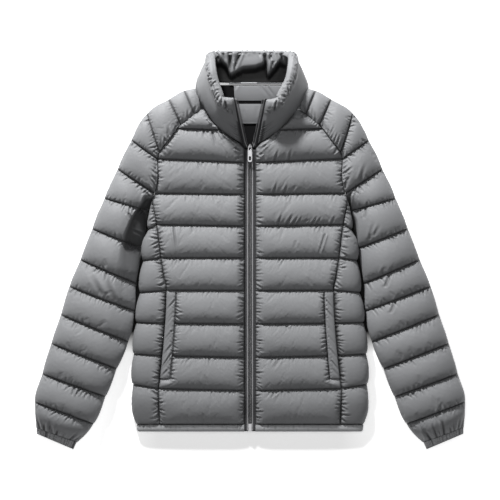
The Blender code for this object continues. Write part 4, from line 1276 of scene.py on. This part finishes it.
# Painted shade: below the roll's edge and at its sides, deep in the neck, the facing is painted near black.
place = coordinates(collar_inside.data) / MM
edge = np.interp(place[:, 0], FACING_EDGE["x"], FACING_EDGE["y"])
painted_light_and_shade = smooth((place[:, 1] - edge + 10) / 10) * smooth((68 - np.abs(place[:, 0] - COLLAR_LEAN)) / 8)
creased = crease_heights(place[:, 0], place[:, 1], FACING_FOLDS)
# Painted shade at the bottom of each deep fold.
painted_light_and_shade *= 1 - 0.9 * np.clip(-creased / 2.4, 0, 1)  # light hardly reaches the bottom of a deep fold
set_attribute(collar_inside.data, "painted_light_and_shade", painted_light_and_shade)
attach(collar_inside, "jacket")
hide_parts("collar_facing")
print("facing", len(collar_inside.data.polygons), "faces")

# %% [markdown]
# ## Neck opening
# Inside the neck lies a grey yoke with one quilted line, and below it the black body lining. A narrow tape
# covers the neck seam, and a loop for a hook is caught under it. These are thin flat cloth, so they are
# drawn as thin sheets with a few folds placed one by one.

# %% Yoke, lining, neck tape and loop
LINING_TOP = 18.4
LINING = columns("y half_width", (165.0, 50.0), (215.0, 68.0), (262.0, 76.0), (309.0, 82.0))
YOKE_LOW, YOKE_LINE = 236.5, 275.5


def laid_sheet(name, low, high, lift, material, strokes=(), start=-1.0):
    """A thin sheet over the back lining's outline, from Y low to high. lift gives its height at each Y."""
    share, y = np.meshgrid(np.linspace(start, 1, 81), np.linspace(low, high, int((high - low) / 1.5)))
    x = share * (np.interp(y, LINING["y"], LINING["half_width"]) - 1.0)
    z = LINING_TOP + lift(y) + crease_heights(x, y, strokes)
    top = np.stack([x, y, z], -1)
    return closed_wall(name, top, top - (0, 0, 0.4), material, keep_inner=0.2)


yoke_folds = (
    (29.5, 309, 47, 284, 2.4, 1.6), (20, 306, 38, 281, 3, 0.9), (-24, 309, -30, 296, 2.6, 0.8),
    (-12, 262, -9, 244, 3, 0.4), (14, 268, 12, 246, 3.4, 0.4),
)


def yoke_lift(y):
    """The yoke's two channels, on either side of its quilted line."""
    return 2.6 * np.abs(np.sin(np.pi * np.clip((y - YOKE_LINE) / 36, -1, 1))) ** 0.7 + 0.4


yoke = laid_sheet("lining_yoke", YOKE_LOW, 307.6, yoke_lift, yoke_cloth, yoke_folds, start=-0.37)
PAINTED_SHADE_BAND = (274.3, 280.0)  # the yoke's faces along its quilted line take the black lining's colour, a painted shade of the line's furrow
yoke.data.materials.append(lining)
for face in yoke.data.polygons:
    if PAINTED_SHADE_BAND[0] < face.center.y / MM < PAINTED_SHADE_BAND[1]:
        face.material_index = 1
body_lining = laid_sheet("lining_body", 165.5, 308.8, lambda y: -1.9 + 0 * y, lining)
for piece, slot_name in ((yoke, "lining"), (body_lining, "lining")):
    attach(piece, "jacket")
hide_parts("back_lining")
print("yoke and lining", len(yoke.data.polygons) + len(body_lining.data.polygons), "faces")


def ribbon(name, low, high, material):
    """A narrow woven tape along X with softly rounded edges, between two corners."""
    share, y = np.meshgrid(np.linspace(0, 1, 61), np.linspace(low[1], high[1], 9))
    x = low[0] + (high[0] - low[0]) * share
    edge = 1 - np.abs(2 * (y - low[1]) / (high[1] - low[1]) - 1) ** 4
    top = np.stack([x, y, low[2] + 0.5 + (high[2] - low[2] - 0.5) * edge], -1)
    piece = closed_wall(name, top, np.stack([x, y, low[2] + 0.0 * x], -1), material, keep_inner=1)
    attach(piece, "jacket")
    return piece


neck_tape = ribbon("neck_seam_tape", (-39.0, 309.8, 18.7), (59.5, 313.0, 20.1), neck_cloth)
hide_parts("neck_tape")
loop = ribbon("hook_loop", (-17.0, 310.3, 20.4), (13.0, 313.6, 21.8), binding)
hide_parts("hanging_loop")
print("tapes", len(neck_tape.data.polygons) + len(loop.data.polygons), "faces")

# %% [markdown]
# ## Hem band and cuffs
# The hem is bound with a folded strip of shell cloth, from zip edge round the back to zip edge. Each cuff is
# a short ring with fine upright ribs, as elastic inside it would gather the cloth. A cord or elastic would be
# hidden, so none is drawn.

# %% The hem band
HEM_PATH = columns(
    "outer_x outer_z inner_x inner_z",
    (10.4, 16, 10.4, 8.4), (40, 17.5, 40, 8.4), (100, 17.5, 100, 8.4), (160, 17, 160, 8.4),
    (195, 16, 192, 8.4), (208, 13, 201, 8.2), (211, 8, 204, 7.6), (208, 2, 201, 7.2), (195, 0, 192, 7),
    (100, 0, 100, 7), (0, 0, 0, 7),
)
HEM_TOP, HEM_BOTTOM = -323.0, -336.5
knots = np.arange(len(HEM_PATH["outer_x"]))
at = np.interp(np.linspace(0, 1, 190), np.linspace(0, 1, 11), [0, 0.6, 1.4, 2.2, 3, 4, 5, 6, 7.2, 8.6, 10])
half_path = {name: curve(knots, values, at) for name, values in HEM_PATH.items()}
path = {
    name: np.concatenate([values * (-1 if name.endswith("x") else 1), values[-2::-1]])
    for name, values in half_path.items()
}
level, station = np.meshgrid(np.linspace(0, 1, 17), np.arange(len(path["outer_x"])))
round_edge = np.sqrt(np.clip(1 - np.clip((level - 0.45) / 0.55, 0, 1) ** 2, 0, 1))
round_edge = round_edge * (0.82 + 0.18 * smooth(level / 0.2))
ends = {}
for surface, keep in (("outer", 1.0), ("inner", 0.6)):
    x, z = path[surface + "_x"][station], path[surface + "_z"][station]
    mid_x = (path["outer_x"][station] + path["inner_x"][station]) / 2
    mid_z = (path["outer_z"][station] + path["inner_z"][station]) / 2
    full = 1 - (1 - round_edge) * keep
    y = HEM_TOP + (HEM_BOTTOM - HEM_TOP) * level * (1 if keep == 1 else 0.96)
    ends[surface] = np.stack([mid_x + (x - mid_x) * full, y, mid_z + (z - mid_z) * full], -1)
outside, inside = ends["outer"], ends["inner"]
arc = lengths_along(outside, 0)[:, :1] + 0 * level
rng = np.random.default_rng(51)
top_line = np.stack([np.linspace(2, float(arc[-1, 0]) - 2, 300), np.full(300, 0.5)], -1)
hem_strokes = gather(rng, top_line, 9.0, 9.0, 1.8, 0.6, lambda x, y: 0.15)
mid_line = top_line + (0, 6.5)
hem_strokes += gather(rng, mid_line, 21.0, 7.0, 1.5, 0.35, lambda x, y: -0.2)
normal = normals_of(outside)
middle = (outside + inside) / 2
normal *= np.sign((normal * (outside - middle)).sum(-1))[:, 4:5, None]
relief = crease_heights(arc, level * BAND_WIDE, hem_strokes)
outside = outside + normal * (relief * (1 - level**4))[..., None]
outside[..., 2] = np.maximum(outside[..., 2], 0.0)
# Painted shade: the colour darkens along the band's top seam and in the cores of its creases.
drawn = np.maximum(0.9 * near_seam(level * BAND_WIDE, 1.6), 0.5 * np.clip(-relief, 0, 1))
hem = closed_wall("hem_binding", outside, inside, band_cloth_painted_lighter, keep_inner=0.3, drawn=drawn)
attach(hem, "jacket")
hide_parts("hem_band")
print("hem band", len(hem.data.polygons), "faces")

# %% The cuffs
CUFF_FOLD, CUFF_INNER = (398.0, -340.0), (328.5, -369.5)  # its far edge, at the fold and the inner edge
CUFF_MIDDLE, CUFF_HALF = 9.5, 8.5
RIBS = 38


def cuff(name, side, seed):
    rng = np.random.default_rng(seed)
    fold, inner_edge, _ = (ends[0] for ends in sleeve_ends(np.array([float(SLEEVE_LAST)])))
    rows, columns_round = 19, 6 * RIBS
    ring = bmesh.new()
    bmesh.ops.create_circle(ring, segments=columns_round, radius=1.0)
    edges = ring.edges[:]
    for _ in range(1, rows):
        raised = bmesh.ops.extrude_edge_only(ring, edges=edges)["geom"]
        edges = [item for item in raised if isinstance(item, bmesh.types.BMEdge)]
        lift_new(ring, raised, 1)
    data = mesh_data(name, ring)
    x, y, level = coordinates(data).T
    angle, level = np.arctan2(y, x), level / (rows - 1)
    across = (1 - np.cos(angle)) / 2
    up = np.sign(np.sin(angle)) * np.abs(np.sin(angle)) ** 0.75
    turn = angle / (2 * math.pi) * RIBS
    phase = turn + 0.45 * np.interp(turn, np.arange(-RIBS, RIBS + 1), rng.normal(0, 1, 2 * RIBS + 1))
    strength = np.interp(turn, np.arange(-RIBS, RIBS + 1), rng.uniform(0.4, 1.3, 2 * RIBS + 1))
    rib = 1.0 * strength * (np.abs(np.sin(math.pi * phase)) - 0.5)
    pinched = 1 - 0.1 * np.exp(-(((level - 0.33) / 0.07) ** 2)) - 0.1 * np.exp(-(((level - 0.7) / 0.07) ** 2))
    roll = np.sqrt(np.clip(1 - np.clip((level - 0.86) / 0.14, 0, 1) ** 2, 0.05, 1))
    low = inner_edge + (np.array(CUFF_INNER) - inner_edge) * level[:, None]
    high = fold + (np.array(CUFF_FOLD) - fold) * level[:, None]
    spot = low + (high - low) * (0.5 + (across - 0.5) * (0.985 + 0.006 * rib))[:, None]
    height = CUFF_MIDDLE + up * (CUFF_HALF - 0.6) * pinched * (0.6 + 0.4 * roll) + rib * np.abs(up)
    set_coordinates(data, np.stack([spot[:, 0] * side, spot[:, 1], np.maximum(height, 0)], -1) * MM)
    # Painted shade: the colour darkens in the valleys between the ribs and along the cuff's far edge.
    valley = 1 - np.abs(np.sin(math.pi * phase))
    drawn = np.maximum(0.8 * valley**1.5 * strength, 0.8 * near_seam((level - 1.0) * BAND_WIDE, 1.6))
    set_attribute(data, "painted_shade", np.clip(drawn, 0, 1))
    set_cut(data, np.stack([turn * 3.6, level * BAND_WIDE], -1) * MM)
    mesh = bmesh.new()
    mesh.from_mesh(data)
    bmesh.ops.recalc_face_normals(mesh, faces=mesh.faces)
    mesh.to_mesh(data)
    mesh.free()
    piece = new_object(name, data)
    thick = piece.modifiers.new("two layers and elastic", "SOLIDIFY")
    thick.thickness = 1.4 * MM
    thick.offset = -1.0
    bake_modifiers(piece)
    piece.data.shade_smooth()
    piece.data.materials.append(band_cloth_painted_lighter)
    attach(piece, "jacket")
    return piece


for name, side, seed in (("left", 1, 61), ("right", -1, 62)):
    piece = cuff("cuff_band_" + name, side, seed)
    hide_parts("cuff_" + name)
    print("cuff", name, len(piece.data.polygons), "faces")

# %% [markdown]
# ## Pocket welts
# Each pocket opens at its outer edge under a welt, a folded strip with a little filling. It lies on the
# front panel, and its cloth is twisted into slanting creases because the two layers were pulled unevenly as
# they were sewn.

# %% The pocket welts
WELT_CREASES = {
    "right": ((141.5, -113, 161.9, -140.3), (143, -121, 160, -143), (143.4, -147, 164.7, -173.5),
              (144, -154, 163, -178), (146.2, -190, 168.4, -223.8), (148, -200, 166, -226),
              (152, -220, 168.4, -237.8), (139, -91, 157, -113), (145, -174, 164, -198)),
    "left": ((138, -88, 158, -113), (139, -107, 159, -131), (141, -130, 161, -156),
             (142, -137, 160, -160), (145, -157, 164, -182), (147, -181, 167, -207),
             (150, -203, 169, -228), (152, -219, 171, -240)),
}


def welt(name, side, seed):
    rng = np.random.default_rng(seed)
    _, _, line, _ = fronts[name]
    rows = (line[:, 0] >= WELT_LINES[0] + 0.01) & (line[:, 0] <= WELT_LINES[1] - 0.01)
    lines = line[rows, 0]
    line, across = np.meshgrid(lines, np.linspace(0, 1, 21), indexing="ij")
    x, y, _, _ = front_plan(line, WELT_SHARE + (1 - WELT_SHARE) * across)
    panel = front_surface(line, WELT_SHARE + (1 - WELT_SHARE) * across)[..., 2]
    ends = np.minimum(line - WELT_LINES[0], WELT_LINES[1] - line) * CHANNEL_HIGH
    crown = (1 - np.abs(2 * across - 1) ** 2.6) ** 0.5
    z = panel + 1.4 + (2.2 + 1.0 * smooth(ends / 8)) * crown
    strokes = [
        (*crease, 1.8 * rng.uniform(0.8, 1.3), 1.5 * rng.uniform(0.3, 1.2)) for crease in WELT_CREASES[name]
    ]
    strokes += gather(rng, np.stack([x[::-1, 1], y[::-1, 1]], -1), 7.0, 7.0, 1.5, 0.5, lambda x, y: 0.5)
    z += crease_heights(x, y, strokes) * smooth(ends / 2 + 0.3)
    top = np.stack([x, y, np.maximum(z, panel + 1.0)], -1)
    piece = closed_wall("welt_" + name, top, np.stack([x, y, panel + 0.4], -1), shell, side, keep_inner=0.3)
    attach(piece, "jacket")
    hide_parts("pocket_welt_" + name)
    return piece


for name, side, seed in (("left", 1, 71), ("right", -1, 72)):
    print("welt", name, len(welt(name, side, seed).data.polygons), "faces")

# %% [markdown]
# ## Zip
# The front closes with a zip of coiled nylon on woven tape. Below the slider the two coils interlock, and
# above it they part and follow the collar's edges. Each tooth of the coil is one turn, drawn as a small
# rounded bar. The pitch of a real coil of this size is 1.2 mm, and 1.6 mm is used so that the teeth can be
# told apart.

# %% Tapes and coils
ZIP_OPENS = 189.0
ZIP_PATH = columns(
    "y x z",
    (-340, 0, 0), (188, 0, 0), (193, 0.6, 27), (197, 2.4, 27.3), (202, 4.6, 27.8), (241, 13.3, 53.8),
    (280.5, 22, 79.5),
)
COIL_PITCH = 1.6
TAPE_EDGE, TAPE_WIDE = 3.5, 6.8  # where each tape starts beside the coil's inner edge, and its width
CORD_AT = 0.16  # a raised cord runs along each tape beside the coil, at this share of its width, with a painted highlight along it


def zip_line(y):
    """The inner edge of the left coil, and the tape's underside."""
    x = np.interp(y, ZIP_PATH["y"], ZIP_PATH["x"])
    closed = front_rest(y) + 2.6
    z = np.where(y < ZIP_OPENS, closed, np.interp(y, ZIP_PATH["y"], ZIP_PATH["z"]))
    return x, z


def zip_tape(name, side):
    y = np.concatenate([np.linspace(-335.4, 188, 205), np.linspace(189.5, 280.3, 60)])
    x, z = zip_line(y)
    share = np.linspace(0, 1, 25)
    far = np.where(y < ZIP_OPENS, 10.3, 9.2)
    across = x[:, None] + TAPE_EDGE + (far - TAPE_EDGE)[:, None] * share
    rib = 0.8 * np.exp(-(((share - CORD_AT) / 0.13) ** 2)) + 0.3 * np.exp(-(((share - 0.62) / 0.07) ** 2))
    top = np.stack([across, y[:, None] + 0 * across, z[:, None] + 1.0 + rib + 0 * across], -1)
    below = top * (1, 1, 0) + np.stack([0 * across, 0 * across, z[:, None] + 0 * across], -1)
    piece = closed_wall("zip_tape_cloth_" + name, top, below, tape_cloth, side, keep_inner=1)
    place = coordinates(piece.data) / MM
    from_cord = (np.abs(place[:, 0]) - zip_line(place[:, 1])[0] - TAPE_EDGE) / TAPE_WIDE - CORD_AT
    # Painted highlight: the tape is painted lighter along its raised cord.
    set_attribute(piece.data, "painted_light_and_shade", np.exp(-((from_cord / 0.14) ** 2)))
    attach(piece, "jacket")
    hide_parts("zip_tape_" + name)


def soften(mesh, edges, offset, segments):
    """Rounds edges, and returns the new vertices."""
    return bmesh.ops.bevel(
        mesh, geom=edges, offset=offset, offset_type="OFFSET", segments=segments, profile=0.5, affect="EDGES",
        material=-1,
    )["verts"]


def edges_of(vertices):
    return list({edge for vertex in vertices for edge in vertex.link_edges})


def small_piece(name, mesh, *materials):
    """An object from a bmesh drawn in millimetres."""
    bmesh.ops.scale(mesh, vec=(MM, MM, MM), verts=mesh.verts)
    data = mesh_data(name, mesh)
    data.shade_smooth()
    for material in materials:
        data.materials.append(material)
    return new_object(name, data)


def tooth(mesh, low, high, place, tilt):
    """One turn of the coil: a bar with rounded edges, from low to high across."""
    made = bmesh.ops.create_cube(mesh, size=1.0)["verts"]
    bmesh.ops.scale(mesh, vec=(high - low, 1.15, 2.1), verts=made)
    rounded = soften(mesh, edges_of(made), 0.42, 1)
    made = list({v for v in made if v.is_valid} | set(rounded))
    bmesh.ops.rotate(mesh, cent=(0, 0, 0), matrix=Matrix.Rotation(tilt, 3, "Z"), verts=made)
    bmesh.ops.translate(mesh, vec=place, verts=made)


def coil(name, side):
    mesh = bmesh.new()
    y = -320.0 + (0.5 * COIL_PITCH if side > 0 else 0.0)
    count = 0
    while y < 279.5:
        x, z = zip_line(np.array(y))
        x, z = float(x), float(z)
        if not 188.2 < y < 190.0:
            tooth(mesh, 0.15, 3.2, (side * (x + 1.68), y, z + 0.45 + 1.05), side * 0.06)
            count += 1
        y += COIL_PITCH
    bmesh.ops.recalc_face_normals(mesh, faces=mesh.faces)
    piece = small_piece("coil_" + name, mesh, coil_plastic)
    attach(piece, "jacket")
    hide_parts("zip_coil_" + name)
    return piece, count


for name, side in (("left", 1), ("right", -1)):
    zip_tape(name, side)
    piece, count = coil(name, side)
    print("zip", name, count, "teeth,", len(piece.data.polygons), "faces")

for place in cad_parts["zip_box"].material_slots:
    place.material = zinc
print("the box is plated zinc")

# %% [markdown]
# The slider is two plates round the coils, with a post between them and an arch on top. Its plates are
# black, and the arch is bright. The pull tab is a bright plate with an eye at its top, which turns on the
# arch, and a slot near its end. Both are drawn in millimetres, with softly rounded edges.

# %% Slider and pull tab
SLIDER_BARS = (
    ((-4.6, 189.0, 30.0), (4.6, 199.0, 31.2), 0.5), ((-4.6, 189.0, 23.8), (4.6, 199.0, 25.0), 0.5),
    ((-1.5, 195.4, 24.4), (1.5, 198.6, 30.6), 0.3), ((-1.5, 191.0, 30.6), (1.5, 192.3, 34.4), 0.3),
    ((-1.5, 197.0, 30.6), (1.5, 198.3, 34.4), 0.3), ((-1.5, 191.0, 33.6), (1.5, 198.3, 34.8), 0.4),
)
PLATE_TOP = 31.2


def finished(name, mesh, materials, body, node):
    bmesh.ops.recalc_face_normals(mesh, faces=mesh.faces)
    piece = small_piece(name, mesh, *materials)
    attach(piece, body)
    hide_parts(node)
    return piece


mesh = bmesh.new()
for low, high, soft in SLIDER_BARS:
    low, high = Vector(low), Vector(high)
    made = bmesh.ops.create_cube(mesh, size=1.0)["verts"]
    bmesh.ops.scale(mesh, vec=high - low, verts=made)
    bmesh.ops.translate(mesh, vec=(low + high) / 2, verts=made)
    soften(mesh, edges_of(made), soft, 2)
for face in mesh.faces:
    face.material_index = int(face.calc_center_median().z > PLATE_TOP + 0.02)
slider = finished("slider", mesh, (black_zinc, zinc), "jacket", "zip_slider")
print("slider", len(slider.data.polygons), "faces")

TAB_ROWS = columns(  # the outline of the tab, and the half width of its openings
    "y half open",
    (165, 3.2, 1.6), (166.2, 4.4, 1.8), (168.4, 4.4, 1.8), (175.4, 4.4, 1.8), (185, 4.4, 1.9),
    (187.4, 3.9, 2.1), (194.4, 3.6, 2.1), (195.7, 3, 1.9),
)
TAB_LOW, TAB_HIGH = 31.75, 33.05
mesh = bmesh.new()
rows = len(TAB_ROWS["y"]) - 1
bmesh.ops.create_grid(mesh, x_segments=3, y_segments=rows, size=1.0)
open_rows = (TAB_ROWS["y"][2:4].mean(), TAB_ROWS["y"][5:7].mean())
for vertex in mesh.verts:
    row = int(round((vertex.co.y + 1) / 2 * rows))
    column = int(round((vertex.co.x + 1) / 2 * 3))
    half, slot_half = float(TAB_ROWS["half"][row]), float(TAB_ROWS["open"][row])
    vertex.co = ((-half, -slot_half, slot_half, half)[column], float(TAB_ROWS["y"][row]), TAB_LOW)
centres = [(face, face.calc_center_median()) for face in mesh.faces]
holes = [face for face, at in centres if abs(at.x) < 0.5 and min(abs(at.y - y) for y in open_rows) < 0.5]
bmesh.ops.delete(mesh, geom=holes, context="FACES")
raised = bmesh.ops.extrude_face_region(mesh, geom=mesh.faces[:])["geom"]
lift_new(mesh, raised, TAB_HIGH - TAB_LOW)
bmesh.ops.recalc_face_normals(mesh, faces=mesh.faces)
sharp = [edge for edge in mesh.edges if edge.calc_face_angle(0.0) > 0.6]
soften(mesh, sharp, 0.3, 2)
tab = finished("pull_tab", mesh, (zinc,), "pull_tab", "zip_pull_tab")
print("pull tab", len(tab.data.polygons), "faces")

# %% [markdown]
# ## Stitches
# The quilting is sewn at about eight stitches to the inch, so each stitch shows as a bar 2.6 mm long with a
# small gap before the next. They lie in the furrows, where they hold the cloth down.

# %% Quilting stitches
STITCH, STITCH_GAP, THREAD_RADIUS = 2.6, 0.6, 0.36


def stitch_along(mesh, points, side):
    """Stitches along a line of points in millimetres."""
    reach = running(np.linalg.norm(np.diff(points, axis=0), axis=1))
    count = 0
    for at in np.arange(1.0, reach[-1] - STITCH, STITCH + STITCH_GAP):
        start, end = (
            Vector([float(np.interp(place, reach, points[:, axis])) for axis in range(3)])
            for place in (at, at + STITCH)
        )
        start.x, end.x = start.x * side, end.x * side
        made = bmesh.ops.create_cone(
            mesh, segments=5, radius1=THREAD_RADIUS, radius2=THREAD_RADIUS, depth=STITCH, cap_ends=True
        )["verts"]
        turn = (end - start).to_track_quat("Z", "Y").to_matrix()
        bmesh.ops.rotate(mesh, cent=(0, 0, 0), matrix=turn, verts=made)
        bmesh.ops.translate(mesh, vec=(start + end) / 2, verts=made)
        count += 1
    return count


def quilting(name, panels, side):
    """The stitches of several panels, as one piece.

    A panel is its points, lines and shares, its first and last quilt line, and the shares between which the
    stitches lie.
    """
    mesh = bmesh.new()
    count = 0
    for points, line, share, first, last, low, high in panels:
        for k in range(first, last + 1):
            row = int(np.argmin(np.abs(line[:, 0] - k)))
            inside = (share[row] > low) & (share[row] < high)
            row_points = points[row][inside] + (0, 0, 0.12)
            count += stitch_along(mesh, row_points, side)
    piece = small_piece(name, mesh, thread_yarn)
    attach(piece, "jacket")
    return piece, count


for name, side in (("left", 1), ("right", -1)):
    panels = (
        (*fronts[name][1:], 1, 9, 0.01, 0.99), (*sides[name][1:], 1, 6, 0.02, 0.55),
        (*sleeves[name][1:], 1, 13, 0.02, 0.98),
    )
    piece, count = quilting("quilting_" + name, panels, side)
    print("quilting", name, count, "stitches,", len(piece.data.polygons), "faces")

# %% [markdown]
# ## Floor and lights
# The table is covered with white paper. It glows a little, so that it stays white where the jacket shades
# it, and less near the jacket than far from it. Under the middle of the body it is painted dark, a painted
# shade, and doesn't glow.

# %% Floor and lights
floor_mesh = bmesh.new()
bmesh.ops.create_grid(floor_mesh, x_segments=1, y_segments=1, size=4.0)
bmesh.ops.translate(floor_mesh, vec=(0, 0, -0.0002), verts=floor_mesh.verts)
floor_data = mesh_data("floor", floor_mesh)
floor = new_object("floor", floor_data)
paper, paper_shader = new_material(
    "White paper backdrop", Base_Color=linear("f4f4f4"), Roughness=0.9, Emission_Color=linear("ffffff"),
    Emission_Strength=0.5,
)
spot = add(paper, "SeparateXYZ", Vector=add(paper, "TexCoord").outputs["Object"])
sideways = add(paper, "Math", {"operation": "ABSOLUTE"}, _0=spot.outputs["X"])
beside = add(paper, "MapRange", Value=sideways.outputs["Value"], From_Min=0.245, From_Max=0.25)
above = add(paper, "MapRange", Value=spot.outputs["Y"], From_Min=0.08, From_Max=0.09)
below = add(paper, "MapRange", Value=spot.outputs["Y"], From_Min=-0.15, From_Max=-0.19)
larger, product = {"operation": "MAXIMUM"}, {"operation": "MULTIPLY"}
open_ends = add(paper, "Math", larger, _0=above.outputs["Result"], _1=below.outputs["Result"])
open_paper = add(paper, "Math", larger, _0=open_ends.outputs["Value"], _1=beside.outputs["Result"])
open_share = open_paper.outputs["Value"]  # 1 where the paper can be seen, and 0 under the body's middle
lengthways = add(paper, "Math", {"operation": "ABSOLUTE"}, _0=spot.outputs["Y"])
past_side = add(paper, "MapRange", Value=sideways.outputs["Value"], From_Min=0.17, From_Max=0.3)
past_end = add(paper, "MapRange", Value=lengthways.outputs["Value"], From_Min=0.46, From_Max=0.62)
away = add(paper, "Math", larger, _0=past_side.outputs["Result"], _1=past_end.outputs["Result"])
strength = add(paper, "MapRange", Value=away.outputs["Value"], To_Min=0.43, To_Max=0.74)
glow = add(paper, "Math", product, _0=open_share, _1=strength.outputs["Result"])
paper.node_tree.links.new(glow.outputs["Value"], paper_shader.inputs["Emission Strength"])
# Painted shade: under the body's middle the paper is painted near black.
shade = add(paper, "MixRGB", Fac=open_share, Color1=linear("1a1a1a"), Color2=linear("f4f4f4"))
paper.node_tree.links.new(shade.outputs["Color"], paper_shader.inputs["Base Color"])
floor_data.materials.append(paper)
floor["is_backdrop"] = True

world = bpy.data.worlds.new("studio")
world.use_nodes = True
world.node_tree.nodes["Background"].inputs["Color"].default_value = (1, 1, 1, 1)
world.node_tree.nodes["Background"].inputs["Strength"].default_value = 0.15
bpy.context.scene.world = world


def soft_box(name, place, size, power):
    """A square light that points at the middle of the table."""
    light = bpy.data.lights.new(name, "AREA")
    light.shape = "RECTANGLE"
    light.size = light.size_y = size
    light.energy = power
    lamp = bpy.data.objects.new(name, light)
    lamp.location = place
    lamp.rotation_euler = (-Vector(place)).to_track_quat("-Z", "Y").to_euler()
    bpy.context.scene.collection.objects.link(lamp)


soft_box("key", (-0.57, 1.95, 0.99), 0.21, 90.0)
soft_box("fill", (-0.1, 0.2, 2.8), 1.6, 17.5)
bpy.context.scene.view_settings.view_transform = "Standard"

# %% [markdown]
# ## Sizes
# The box round everything that is rendered, apart from the paper, is measured, and the time the simulations
# took is printed.

# %% Sizes
low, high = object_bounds()
print("simulation", round(sim_seconds, 1), "s")
